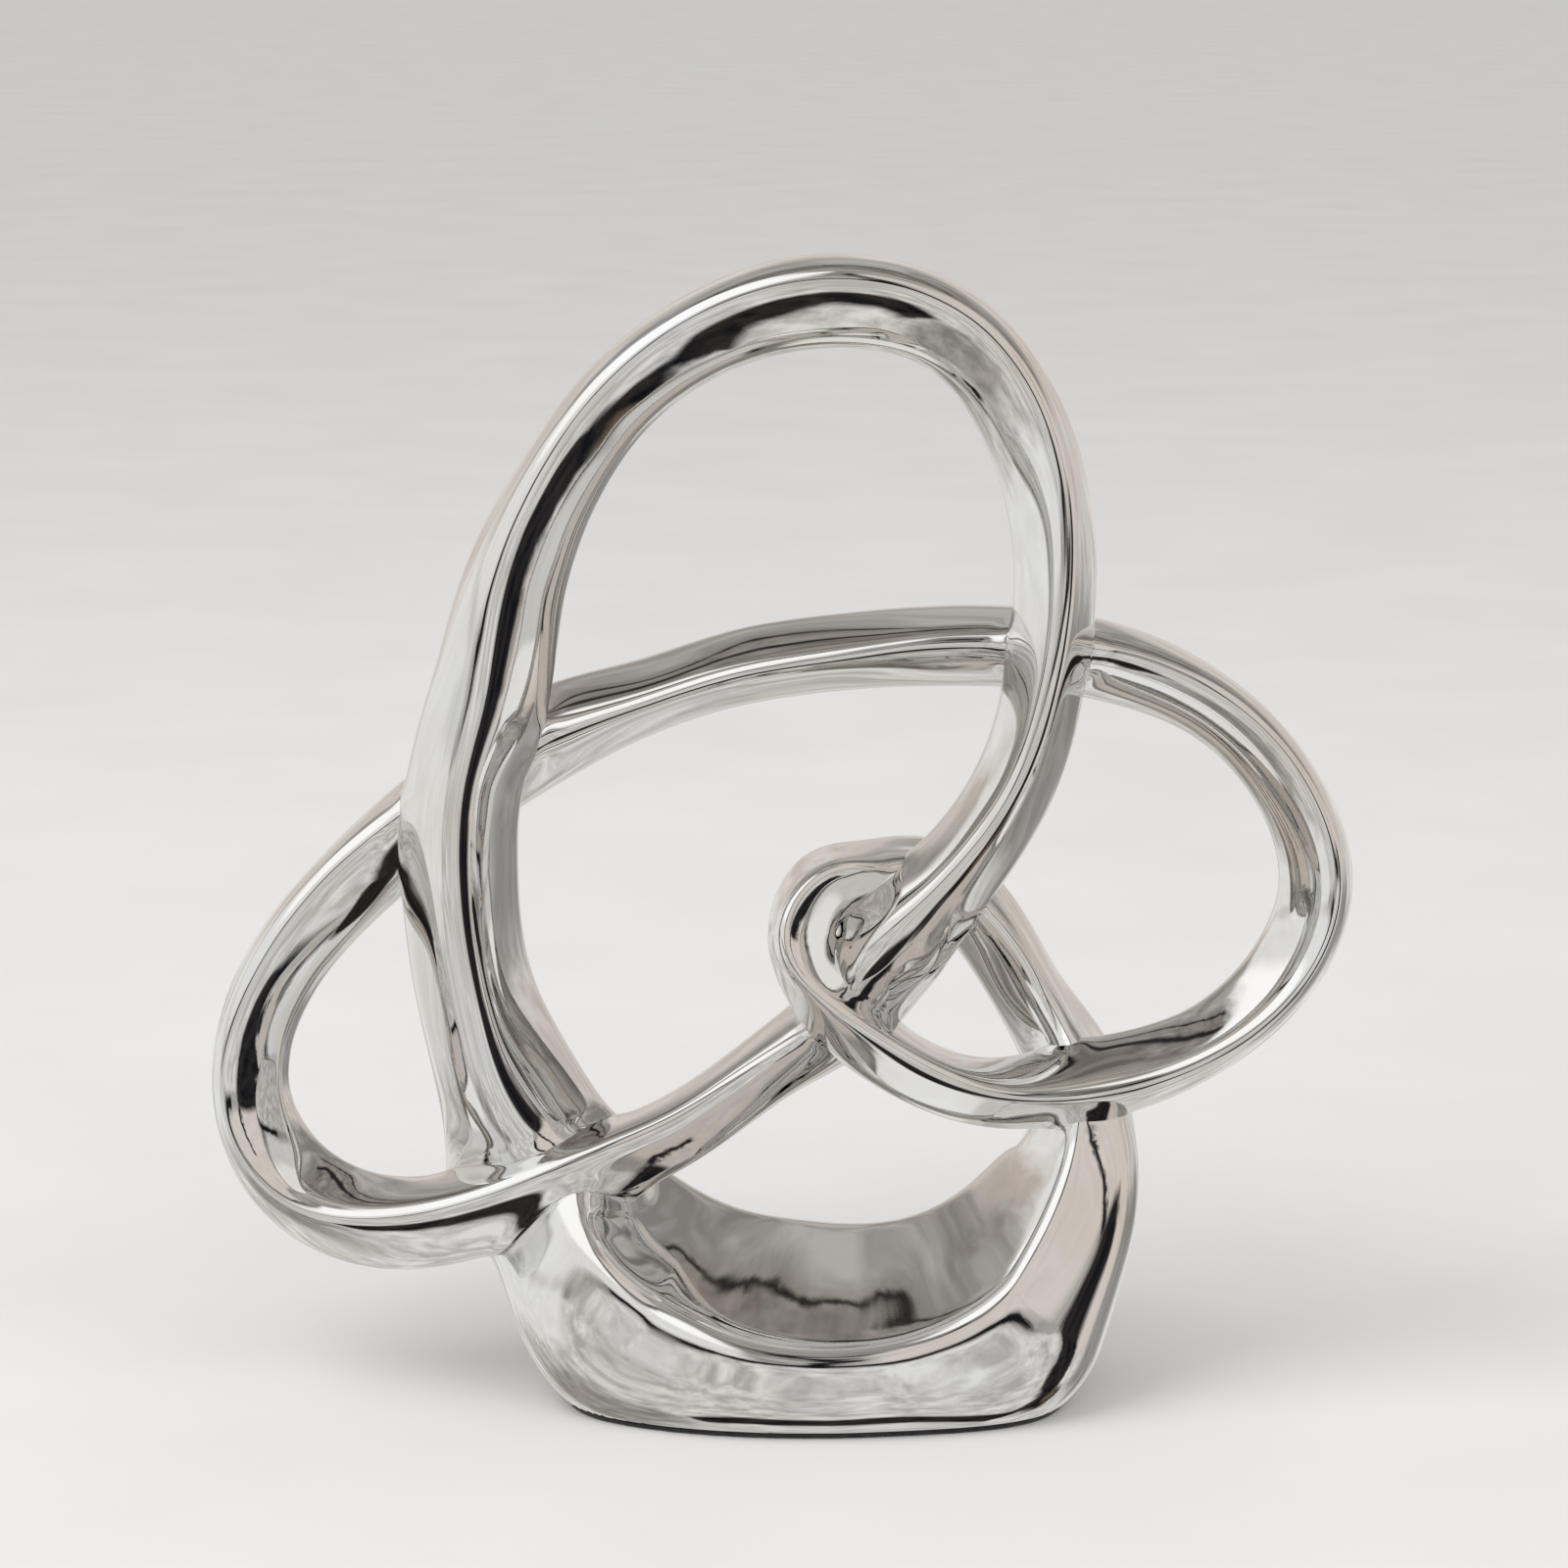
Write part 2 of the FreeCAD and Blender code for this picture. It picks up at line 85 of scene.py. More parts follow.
CROSS_BAR = (
    (-0.264, 0.148, 0.543, 1.091, 1.000, -18), (-0.197, 0.148, 0.582, 1.091, 1.000, -10),
    (-0.123, 0.136, 0.611, 0.891, 1.000, -8), (-0.039, 0.136, 0.638, 0.873, 1.000, -8),
    (0.047, 0.136, 0.652, 0.891, 1.000, -10), (0.131, 0.136, 0.660, 0.927, 1.000, -16),
)
RIGHT_LOOP = (
    (0.225, 0.136, 0.658, 0.945, 1.000, -18), (0.301, 0.114, 0.645, 0.927, 1.000, -25),
    (0.370, 0.080, 0.616, 0.836, 1.000, -28), (0.442, 0.045, 0.544, 0.845, 1.000, -25),
    (0.470, 0.011, 0.453, 0.891, 1.000, -13), (0.445, -0.011, 0.382, 0.891, 1.000, -6),
    (0.365, -0.057, 0.314, 0.836, 1.000, 4), (0.261, -0.091, 0.283, 0.945, 1.000, 8),
    (0.174, -0.102, 0.280, 0.764, 1.000, 28), (0.095, -0.114, 0.316, 0.782, 1.000, 30),
    (0.035, -0.114, 0.372, 0.836, 1.000, 5), (0.014, -0.091, 0.421, 0.818, 1.000, -22),
    (0.036, -0.023, 0.456, 0.818, 1.000, -30), (0.079, 0.068, 0.461, 0.855, 1.000, -30),
)
SHORT_STRUT = (
    (0.137, 0.148, 0.453, 0.909, 0.923, -20), (0.187, 0.159, 0.408, 0.909, 0.923, -20),
    (0.225, 0.159, 0.346, 0.891, 0.923, -20),
)
BASE_START = (
    (0.263, 0.125, 0.267, 1.136, 1.320, -4),
)
# slices of the foot about the centre of its opening: angle from straight down, ridge y and distance, rim y and
# distance, back foot y and distance, front foot y and distance, reach of the keel; the first row's rim is drawn a
# little off the CAD's, which folds there
BASE_SLICES = (
    (62, -0.215, 0.914, 0.240, 0.775, 0.240, 0.994, -0.175, 1.004, 1.041),
    (48, -0.350, 0.944, 0.275, 0.765, 0.300, 1.085, -0.315, 1.100, 1.162),
    (34, -0.440, 0.943, 0.295, 0.760, 0.345, 1.184, -0.415, 1.184, 1.242),
    (18, -0.494, 0.912, 0.312, 0.738, 0.490, 1.092, -0.505, 1.092, 1.145),
    (0, -0.516, 0.888, 0.318, 0.700, 0.538, 1.051, -0.526, 1.051, 1.103),
    (-18, -0.494, 0.894, 0.273, 0.681, 0.490, 1.092, -0.505, 1.092, 1.145),
    (-34, -0.430, 0.916, 0.227, 0.675, 0.330, 1.176, -0.390, 1.176, 1.234),
    (-47, -0.350, 0.936, 0.193, 0.681, 0.210, 1.085, -0.275, 1.110, 1.170),
)


class Stretch(Enum):
    """The six castings, by the names of their CAD nodes, in the order of travel."""

    TALL_LOOP = "tall_loop"
    LEFT_LOOP = "left_loop"
    CROSS_BAR = "cross_bar"
    RIGHT_LOOP = "right_loop"
    SHORT_STRUT = "short_strut"
    BASE_BODY = "base_body"


STATIONS = {Stretch.TALL_LOOP: TALL_LOOP, Stretch.LEFT_LOOP: LEFT_LOOP, Stretch.CROSS_BAR: CROSS_BAR,
            Stretch.RIGHT_LOOP: RIGHT_LOOP, Stretch.SHORT_STRUT: SHORT_STRUT, Stretch.BASE_BODY: BASE_START}


def linear(code: str) -> tuple[float, float, float, float]:
    """Turns an sRGB hex colour, such as "#D8D6D2", into the linear colour and alpha that Blender's sockets hold."""
    parts = [int(code[i:i + 2], 16) / 255.0 for i in (1, 3, 5)]
    red, green, blue = [p / 12.92 if p <= 0.04045 else ((p + 0.055) / 1.055) ** 2.4 for p in parts]
    return red, green, blue, 1.0


def add_node(tree: Tree, kind: str, sockets: dict | None = None, **settings: object) -> bpy.types.Node:
    """Adds one shader node with its settings, values and links.

    Args:
        tree: the node tree.
        kind: the node's type, such as "ShaderNodeTexNoise".
        sockets: input name or number to a plain value, or to another node's output socket that is linked to it.
        **settings: properties of the node itself.

    Returns:
        The new node.
    """
    node = tree.nodes.new(kind)
    for name, value in settings.items():
        setattr(node, name, value)
    for key, value in (sockets or {}).items():
        if isinstance(value, Socket):
            tree.links.new(value, node.inputs[key])
        else:
            node.inputs[key].default_value = value
    return node


def unit(vectors: Array) -> Array:
    """Scales the vectors on the last axis to length one."""
    return vectors / np.linalg.norm(vectors, axis=-1, keepdims=True)


def smooth(share: Array) -> Array:
    """The smooth step 3x^2 - 2x^3 of a share held between 0 and 1."""
    held = np.clip(share, 0.0, 1.0)
    return held * held * (3.0 - 2.0 * held)


def ring_basis(turns: Array, order: int = 0) -> Array:
    """Weights of the twelve poles at places along a closed uniform cubic B-spline, or their derivatives.

    In the cell that starts at whole number i, with x the way through it, the weights of poles i-1, i, i+1 and i+2
    are (1-x)^3, 3x^3-6x^2+4, -3x^3+3x^2+3x+1 and x^3, all over six.

    Args:
        turns: places along the ring, from 0 to 12.
        order: 0 for the curve, 1 or 2 for its derivatives by the place.

    Returns:
        An array of the shape of turns with one more axis of twelve weights.
    """
    cell = np.floor(turns).astype(int)
    x = turns - cell
    if order == 0:
        parts = ((1 - x) ** 3, 3 * x ** 3 - 6 * x ** 2 + 4, -3 * x ** 3 + 3 * x ** 2 + 3 * x + 1, x ** 3)
    elif order == 1:
        parts = (-3 * (1 - x) ** 2, 9 * x ** 2 - 12 * x, -9 * x ** 2 + 6 * x + 3, 3 * x ** 2)
    else:
        parts = (6 * (1 - x), 18 * x - 12, -18 * x + 6, 6 * x)
    weights = np.zeros(turns.shape + (POLE_COUNT,))
    for step, part in enumerate(parts):
        np.put_along_axis(weights, ((cell + step - 1) % POLE_COUNT)[..., None], part[..., None] / 6.0, axis=-1)
    return weights


def grid_normals(points: Array) -> Array:
    """Outward unit normals of a grid of rings (rows, columns, 3), from each point's neighbours."""
    around = np.roll(points, -1, axis=1) - np.roll(points, 1, axis=1)
    return unit(np.cross(around, np.gradient(points, axis=0)))


def across(weights: Array, front: Array, inside: Array, poles: Array) -> Array:
    """Vectors (n, m, 3) in the sections' planes: the poles by m rows of weights, laid along front and inside."""
    flat = np.einsum("mk,nkc->nmc", weights, poles)
    return flat[..., :1] * front[:, None] + flat[..., 1:] * inside[:, None]


@dataclass(frozen=True)
class KnotSizes:
    """Driving sizes of the knot, in millimetres, as in the CAD model."""

    width: float = 307.0
    height: float = 307.0
    depth: float = 89.0
    strand_width: float = 22.0
    strand_depth: float = 26.0
    saddle_radius: float = 80.0
    saddle_x_share: float = 0.030
    saddle_y_share: float = 0.023
    saddle_z_share: float = 0.313
    edge_reach: float = 9.0
    edge_reach_share: float = 0.45
    saddle_hollow: float = 1.0
    back_swell: float = 3.0
    front_swell: float = 0.5
    triangle_share: float = 0.18


@dataclass
class Route:
    """The closed route of the strand: at any place along it, its centre, frame and section.

    Places are counted in stations. Through the stations runs a closed cubic curve that is smooth to the second
    order, with chord lengths as its spans, for the centre and for every pole of the section alike.
    """

    sizes: KnotSizes = field(default_factory=KnotSizes)
    starts: dict[Stretch, int] = field(init=False, default_factory=dict)
    values: Array = field(init=False)
    spans: Array = field(init=False)
    slopes: Array = field(init=False)

    def __post_init__(self) -> None:
        """Works out the stations and the slopes there."""
        rows = []
        for stretch, table in STATIONS.items():
            self.starts[stretch] = len(rows)
            rows += [self.strand_station(row) for row in table]
        rows += [self.slice_station(row) for row in BASE_SLICES]
        self.values = np.array(rows)
        steps = np.roll(self.values[:, :3], -1, axis=0) - self.values[:, :3]
        self.spans = np.linalg.norm(steps, axis=1)
        self.slopes = self.smooth_slopes()

    @property
    def count(self) -> int:
        """The number of stations."""
        return len(self.values)

    def strand_station(self, row: tuple[float, ...]) -> list[float]:
        """Centre and twelve poles of plain strand: a circle rounded towards a triangle by its second wave.

        Args:
            row: one row of the stations' tables.

        Returns:
            The centre's coordinates, then front and inside of each pole.
        """
        s = self.sizes
        x, y, z, half_width, half_depth, turn = row
        angle = np.arange(POLE_COUNT) * 2.0 * math.pi / POLE_COUNT
        damp = [(2.0 + math.cos(order * 2.0 * math.pi / POLE_COUNT)) / 3.0 for order in (1, 2)]
        front = np.cos(angle) / damp[0] + s.triangle_share * np.cos(2 * angle) / damp[1]
        inside = np.sin(angle) / damp[0] - s.triangle_share * np.sin(2 * angle) / damp[1]
        cosine, sine = math.cos(math.radians(turn)), math.sin(math.radians(turn))
        poles = np.stack([(front * cosine - inside * sine) * half_depth * s.strand_depth / 2.0,
                          (front * sine + inside * cosine) * half_width * s.strand_width / 2.0], axis=1)
        return [x * s.width, y * s.depth, z * s.height, *poles.ravel()]

    def slice_station(self, row: tuple[float, ...]) -> list[float]:
        """Centre and twelve poles of one slice of the foot, from its ridge, rim, back foot, keel and front foot.

        Args:
            row: one row of the foot's table.

        Returns:
            The centre's coordinates, then front and inside of each pole.
        """
        s = self.sizes
        angle, ridge_y, ridge_r, rim_y, rim_r, back_y, back_r, front_y, front_r, keel_r = row
        middle = s.saddle_y_share * s.depth
        reach = s.saddle_z_share * s.height

        def corner(y_share: float, distance: float) -> Array:
            """A corner of the slice, as front and inside."""
            return np.array([middle - y_share * s.depth, s.saddle_radius - distance])

        def stepped(first: Array, second: Array) -> Array:
            """The point one edge reach from first towards second."""
            share = min(s.edge_reach / float(np.linalg.norm(second - first)), s.edge_reach_share)
            return first + (second - first) * share

        ridge = corner(ridge_y, ridge_r * s.saddle_radius)
        rim = corner(rim_y, rim_r * s.saddle_radius)
        back = corner(back_y, back_r * reach)
        front = corner(front_y, front_r * reach)
        keel = corner((back_y + front_y) / 2.0, keel_r * reach)
        saddle = (ridge + rim) / 2.0 + np.array([0.0, s.saddle_hollow])
        rear = (rim + back) / 2.0 - np.array([s.back_swell, 0.0])
        face = (ridge + front) / 2.0 + np.array([s.front_swell, 0.0])
        poles = np.array([ridge, stepped(ridge, saddle), saddle, stepped(rim, saddle), rim, stepped(rim, rear),
                          rear, stepped(back, rear), back, keel, front, stepped(ridge, face)])
        turn = math.radians(angle)
        return [s.saddle_x_share * s.width + s.saddle_radius * math.sin(turn), s.saddle_y_share * s.depth,
                s.saddle_z_share * s.height - s.saddle_radius * math.cos(turn), *poles.ravel()]

    def smooth_slopes(self) -> Array:
        """Slopes at the stations, from the closed chain of equations that makes the second derivative continuous."""
        count = self.count
        after = self.spans
        before = np.roll(self.spans, 1)
        own = np.arange(count)
        matrix = np.zeros((count, count))
        matrix[own, own] = 2.0 * (before + after)
        matrix[own, own - 1] += after
        matrix[own, (own + 1) % count] += before
        ahead = (np.roll(self.values, -1, axis=0) - self.values) / after[:, None]
        behind = np.roll(ahead, 1, axis=0)
        right = 3.0 * (before[:, None] * ahead + after[:, None] * behind)
        return np.linalg.solve(matrix, right)

    def at(self, places: Array) -> tuple[Array, Array, Array, Array, Array]:
        """Centre, speed, front, inside and poles at places along the route.

        Between two stations each value is the cubic with the stations' values and slopes at its ends. Front is -Y
        made square to the route, and inside is the direction of travel crossed with front.

        Args:
            places: places counted in stations.

        Returns:
            Centres (n, 3), speeds per station (n, 3), fronts, insides and poles (n, 12, 2).
        """
        whole = np.floor(places).astype(int)
        share = (places - whole)[:, None]
        index = whole % self.count
        following = (index + 1) % self.count
        span = self.spans[index][:, None]
        start, end = self.values[index], self.values[following]
        start_slope, end_slope = self.slopes[index], self.slopes[following]
        cube = 2.0 * (start - end) + span * (start_slope + end_slope)
        square = 3.0 * (end - start) - span * (2.0 * start_slope + end_slope)
        values = ((cube * share + square) * share + span * start_slope) * share + start
        speed = ((3.0 * cube * share + 2.0 * square) * share + span * start_slope)[:, :3]
        along = unit(speed)
        front = unit(np.array([0.0, -1.0, 0.0]) + along * along[:, 1:2])
        return values[:, :3], speed, front, np.cross(along, front), values[:, 3:].reshape(-1, POLE_COUNT, 2)

    def rings(self, places: Array, weights: Array) -> Array:
        """Points of the strand's surface: rings of the section at places, by the weights of their poles.

        Args:
            places: n places along the route.
            weights: m rows of twelve weights.

        Returns:
            An array (n, m, 3).
        """
        centre, _, front, inside, poles = self.at(places)
        return centre[:, None] + across(weights, front, inside, poles)


@dataclass
class Span:
    """A run of the route that can tell how far any point lies outside its surface."""

    route: Route
    first: float
    last: float
    sample_step: float = 0.02
    ring_samples: int = 48
    newton_rounds: int = 3
    longest_turn: float = 0.3
    softest: float = 0.5
    batch: int = 20000

    def __post_init__(self) -> None:
        """Samples the centre line once."""
        count = int(round((self.last - self.first) / self.sample_step)) + 1
        self.places = np.linspace(self.first, self.last, count)
        self.centres, self.speeds, _, _, _ = self.route.at(self.places)
        self.turns = np.arange(self.ring_samples) * POLE_COUNT / self.ring_samples
        self.weights = ring_basis(self.turns)

    def holds(self, places: Array) -> Array:
        """Which of the places lie in the run, counted round the closed route."""
        return np.mod(places - self.first, self.route.count) <= self.last - self.first

    def distance(self, points: Array) -> Array:
        """Signed distance from points to the run's surface, positive outside, in batches."""
        parts = [self.batch_distance(points[start:start + self.batch])
                 for start in range(0, len(points), self.batch)]
        return np.concatenate(parts) if parts else np.zeros(0)

    def batch_distance(self, points: Array) -> Array:
        """Signed distance of one batch.

        The nearest sample of the centre line is moved along the route until the point lies square to it. In the
        plane of the section there, the nearest ring sample is moved by Newton's rule until the point lies square to
        the ring, and the distance is measured along the ring's outward normal. Past an end of the run, what the
        point lies beyond it along the route is added.

        Args:
            points: points (n, 3).

        Returns:
            Distances (n,).
        """
        square = (self.centres ** 2).sum(1)[None] - 2.0 * points @ self.centres.T
        nearest = square.argmin(1)
        speed = self.speeds[nearest]
        lead = ((points - self.centres[nearest]) * speed).sum(1) / (speed ** 2).sum(1)
        places = self.places[nearest] + lead
        held = np.clip(places, self.first, self.last)
        beyond = np.abs(places - held) * np.linalg.norm(speed, axis=1)
        centre, _, front, inside, poles = self.route.at(held)
        offset = points - centre
        flat = np.stack([(offset * front).sum(1), (offset * inside).sum(1)], axis=1)
        samples = np.einsum("mk,nkc->nmc", self.weights, poles)
        turn = self.turns[((samples - flat[:, None]) ** 2).sum(2).argmin(1)]
        for _ in range(self.newton_rounds):
            own, rate, bend = [np.einsum("nk,nkc->nc", ring_basis(turn, order), poles) for order in (0, 1, 2)]
            miss = own - flat
            pace = (rate ** 2).sum(1)
            stiff = pace + np.maximum((miss * bend).sum(1), -self.softest * pace)
            turn = turn - np.clip((miss * rate).sum(1) / stiff, -self.longest_turn, self.longest_turn)
        own, rate = [np.einsum("nk,nkc->nc", ring_basis(turn, order), poles) for order in (0, 1)]
        outward = unit(np.stack([rate[:, 1], -rate[:, 0]], axis=1))
        return ((flat - own) * outward).sum(1) + beyond


@dataclass(frozen=True)
class Weld:
    """A crossing where two runs of the route grow together, and how soft the fillet is, in millimetres."""

    first: Pair
    second: Pair
    softness: float


WELDS = (
    Weld((-3.8, 2.6), (18.5, 25.6), 2.2),
    Weld((1.8, 6.8), (27.3, 32.8), 1.8),
    Weld((11.6, 16.4), (33.6, 39.0), 1.4),
    Weld((14.6, 21.6), (43.4, 53.2), 0.9),
    Weld((40.6, 45.8), (50.6, 57.2), 1.5),
)


@dataclass
class Fusing:
    """Swells a strand's surface near a crossing into the fillet between the two strands.

    Each point moves along its own normal only, so the grid can't fold. With k the softness, a its rise and e its
    distance to the other strands, softened over all of them, the point rises until -k ln(exp(-a / k) + exp(-e / k))
    is zero. Where e is less than a, the other strand's own fillet lies on top, and the point stays lower by a share
    of a - e that grows from a half to one. Last, the rises are evened out over the grid.
    """

    route: Route
    reach: float = 6.5
    dive: float = 2.4
    rounds: int = 10
    pace: float = 0.6
    highest: float = 4.0
    faintest: float = 1e-12
    exponents: Pair = (-8.0, 40.0)
    even_rounds: int = 12
    full_rise: float = 0.05

    def __post_init__(self) -> None:
        """Makes the runs that the welds join."""
        self.sides = []
        for weld in WELDS:
            first, second = [Span(self.route, *ends) for ends in (weld.first, weld.second)]
            self.sides += [(first, second, weld.softness), (second, first, weld.softness)]

    def pull(self, points: Array, near: list[Array]) -> Array:
        """The sum of exp(-distance / softness) over the other strands, at points (n, 3)."""
        total = np.full(len(points), self.faintest)
        for (_, other, softness), rows in zip(self.sides, near):
            if len(rows):
                total[rows] += np.exp(-np.clip(other.distance(points[rows]) / softness, *self.exponents))
        return total

    def settle(self, points: Array, normals: Array, places: Array) -> tuple[Array, Array]:
        """Moves the points near crossings onto the fillets, in rounds that each go a part of the way.

        Args:
            points: the grid of one strand's surface (rows, columns, 3).
            normals: its normals there.
            places: each row's place along the route.

        Returns:
            The new grid and its normals, square to the grid wherever it has risen.
        """
        flat, outward = points.reshape(-1, 3), normals.reshape(-1, 3)
        held = np.repeat(places, points.shape[1])
        close = []
        for mine, other, softness in self.sides:
            index = np.flatnonzero(mine.holds(held))
            close.append(index[other.distance(flat[index]) < self.reach * softness])
        active = np.unique(np.concatenate(close))
        if not len(active):
            return points, normals
        near = [np.searchsorted(active, index) for index in close]
        soft = np.ones(len(active))
        for (_, _, softness), rows in zip(self.sides, near):
            soft[rows] = softness
        rise = np.zeros(len(active))
        for _ in range(self.rounds):
            pulled = self.pull(flat[active] + outward[active] * rise[:, None], near)
            joined = -soft * np.log(np.exp(-rise / soft) + pulled)
            deeper = np.maximum(rise + soft * np.log(pulled), 0.0)
            sunk = joined + deeper * (0.5 + 0.5 * smooth(deeper / (self.dive * soft)))
            rise = np.clip(rise - self.pace * sunk, 0.0, self.highest * soft)
        swell = np.zeros(len(flat))
        swell[active] = rise
        swell = swell.reshape(points.shape[:2])
        for _ in range(self.even_rounds):
            swell = (np.roll(swell, 1, axis=1) + 2.0 * swell + np.roll(swell, -1, axis=1)) / 4.0
            swell[1:-1] = (swell[:-2] + 2.0 * swell[1:-1] + swell[2:]) / 4.0
        moved = points + normals * swell[..., None]
        share = smooth(swell / self.full_rise)[..., None]
        return moved, unit(normals + (grid_normals(moved) - normals) * share)


@dataclass(frozen=True)
class HandPolish:
    """The faint waviness that a polishing mop leaves: waves of 14 to 46 mm, each up to 0.06 mm deep."""

    waves: tuple[tuple[float, float, float, float, float], ...] = (
        (46.0, 0.060, 0.8, 0.3, -0.5), (33.0, 0.040, -0.4, 0.7, 0.6), (24.0, 0.024, 0.5, -0.6, 0.6),
        (18.0, 0.014, 0.9, 0.2, 0.4), (14.0, 0.008, -0.3, 0.5, -0.8),
    )

    def apply(self, points: Array, normals: Array) -> tuple[Array, Array]:
        """Lowers the surface by a sum of sine waves through space and tilts the normals to match.

        Each wave is depth * (sin(direction . point * 2 pi / length + length) - 1), so nothing rises above the
        surface. The normal loses the part of the waves' gradient that lies along the surface.

        Args:
            points: points (n, 3) in millimetres.
            normals: unit normals.

        Returns:
            The new points and normals.
        """
        height = np.zeros(len(points))
        slope = np.zeros_like(points)
        for length, depth, *heading in self.waves:
            direction = unit(np.array(heading)) * (2.0 * math.pi / length)
            phase = points @ direction + length
            height += depth * (np.sin(phase) - 1.0)
            slope += depth * np.cos(phase)[:, None] * direction
        along = slope - (slope * normals).sum(1, keepdims=True) * normals
        return points + normals * height[:, None], unit(normals - along)


def fill_mesh(name: str, points: Array, faces: list[Array], normals: Array | None) -> Piece:
    """Puts points in millimetres and faces into a new mesh object at the origin.

    Args:
        name: the object's name.
        points: points (n, 3).
        faces: arrays of corner numbers, one row per face, one array for each number of corners.
        normals: the points' normals, or None to have them worked out.

    Returns:
        The new object, linked to the scene.
    """
    mesh = bpy.data.meshes.new(name)
    mesh.vertices.add(len(points))
    mesh.vertices.foreach_set("co", (points * MM).astype(np.float32).ravel())
    corners = np.concatenate([part.ravel() for part in faces])
    sizes = np.concatenate([np.full(len(part), part.shape[1]) for part in faces])
    mesh.loops.add(len(corners))
    mesh.loops.foreach_set("vertex_index", corners.astype(np.int32))
    mesh.polygons.add(len(sizes))
    mesh.polygons.foreach_set("loop_start", (np.cumsum(sizes) - sizes).astype(np.int32))
    mesh.polygons.foreach_set("use_smooth", np.ones(len(sizes), dtype=bool))
    mesh.update(calc_edges=True)
    mesh.validate()
    if normals is not None:
        mesh.normals_split_custom_set_from_vertices(normals.astype(np.float32))
    piece = bpy.data.objects.new(name, mesh)
    bpy.context.scene.collection.objects.link(piece)
    return piece


def capped_tube(points: Array, ends: Array) -> tuple[Array, list[Array]]:
    """Joins a grid of rings into a closed skin: quads between the rings and a fan about a point at each end.

    Args:
        points: the grid (rows, columns, 3).
        ends: the two fans' middle points (2, 3).

    Returns:
        All the points (n, 3), and the quads and triangles as arrays of corner numbers.
    """
    rows, columns = points.shape[:2]
    number = np.arange(rows * columns).reshape(rows, columns)
    after = np.roll(number, -1, axis=1)
    quads = np.stack([number[:-1], after[:-1], after[1:], number[1:]], axis=-1).reshape(-1, 4)
    first = np.full(columns, rows * columns)
    fans = [np.stack([first, after[0], number[0]], axis=-1), np.stack([first + 1, number[-1], after[-1]], axis=-1)]
    return np.concatenate([points.reshape(-1, 3), ends]), [quads, np.concatenate(fans)]


@dataclass
class Casting:
    """One arc of the knot: a grid of rings along the route, closed by a face at each end."""

    stretch: Stretch
    first: float
    last: float
    ring_count: int = 128
    fine_step: float = 0.8
    plain_step: float = 2.2
    fine_reach: float = 24.0
    samples_per_station: int = 100
    probe: float = 0.002

    def row_places(self, route: Route) -> Array:
        """Places of the rings: fine_step apart near a crossing and plain_step apart elsewhere.

        The centre line is sampled, each sample gets the rings per millimetre that its distance to the nearest
        crossing asks for, and the rings stand at equal amounts of the running total.

        Args:
            route: the closed route.

        Returns:
            The places, with both ends of the casting.
        """
        samples = np.linspace(self.first, self.last, int((self.last - self.first) * self.samples_per_station) + 1)
        centres, speeds, _, _, _ = route.at(samples)
        crossings, _, _, _, _ = route.at(np.array(list(route.starts.values()), dtype=float))
        gap = np.linalg.norm(centres[:, None] - crossings[None], axis=2).min(1)
        far = smooth((gap - self.fine_reach) / self.fine_reach)
        step = self.fine_step + (self.plain_step - self.fine_step) * far
        rate = np.linalg.norm(speeds, axis=1) / step / self.samples_per_station
        total = np.concatenate([[0.0], np.cumsum((rate[1:] + rate[:-1]) / 2.0)])
        return np.interp(np.linspace(0.0, total[-1], int(math.ceil(total[-1])) + 1), total, samples)

    def surface(self, route: Route, places: Array) -> tuple[Array, Array]:
        """Points and outward normals of the plain strand, the ring's tangent crossed with the step along it."""
        turns = np.arange(self.ring_count) * POLE_COUNT / self.ring_count
        weights = ring_basis(turns)
        points = route.rings(places, weights)
        along = route.rings(places + self.probe, weights) - route.rings(places - self.probe, weights)
        _, _, front, inside, poles = route.at(places)
        return points, unit(np.cross(across(ring_basis(turns, 1), front, inside, poles), along))

    def trim(self, points: Array, normals: Array) -> tuple[Array, Array]:
        """Leaves the surface as it is; the foot is the only casting that is cut flat."""
        return points, normals

    def build(self, route: Route, fusing: Fusing, polish: HandPolish) -> Piece:
        """Makes the casting: the plain surface, its fillets, its polish and its flat cut, in that order.

        Args:
            route: the closed route.
            fusing: the fillets at the crossings.
            polish: the waviness of the polished face.

        Returns:
            The finished piece.
        """
        places = self.row_places(route)
        points, normals = self.surface(route, places)
        points, normals = fusing.settle(points, normals, places)
        shape = points.shape
        flat_points, flat_normals = polish.apply(points.reshape(-1, 3), normals.reshape(-1, 3))
        points, normals = self.trim(flat_points.reshape(shape), flat_normals.reshape(shape))
        return self.close(points, normals)

    def close(self, points: Array, normals: Array) -> Piece:
        """Closes both ends about the rings' middles and puts the mesh in place of its CAD node."""
        middles = np.stack([points[0].mean(0), points[-1].mean(0)])
        facing = unit(middles - np.stack([points[1].mean(0), points[-2].mean(0)]))
        skin, faces = capped_tube(points, middles)
        piece = fill_mesh(self.stretch.value + "_chromed", skin, faces,
                          np.concatenate([normals.reshape(-1, 3), facing]))
        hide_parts(self.stretch.value)
        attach(piece, "root")
        return piece


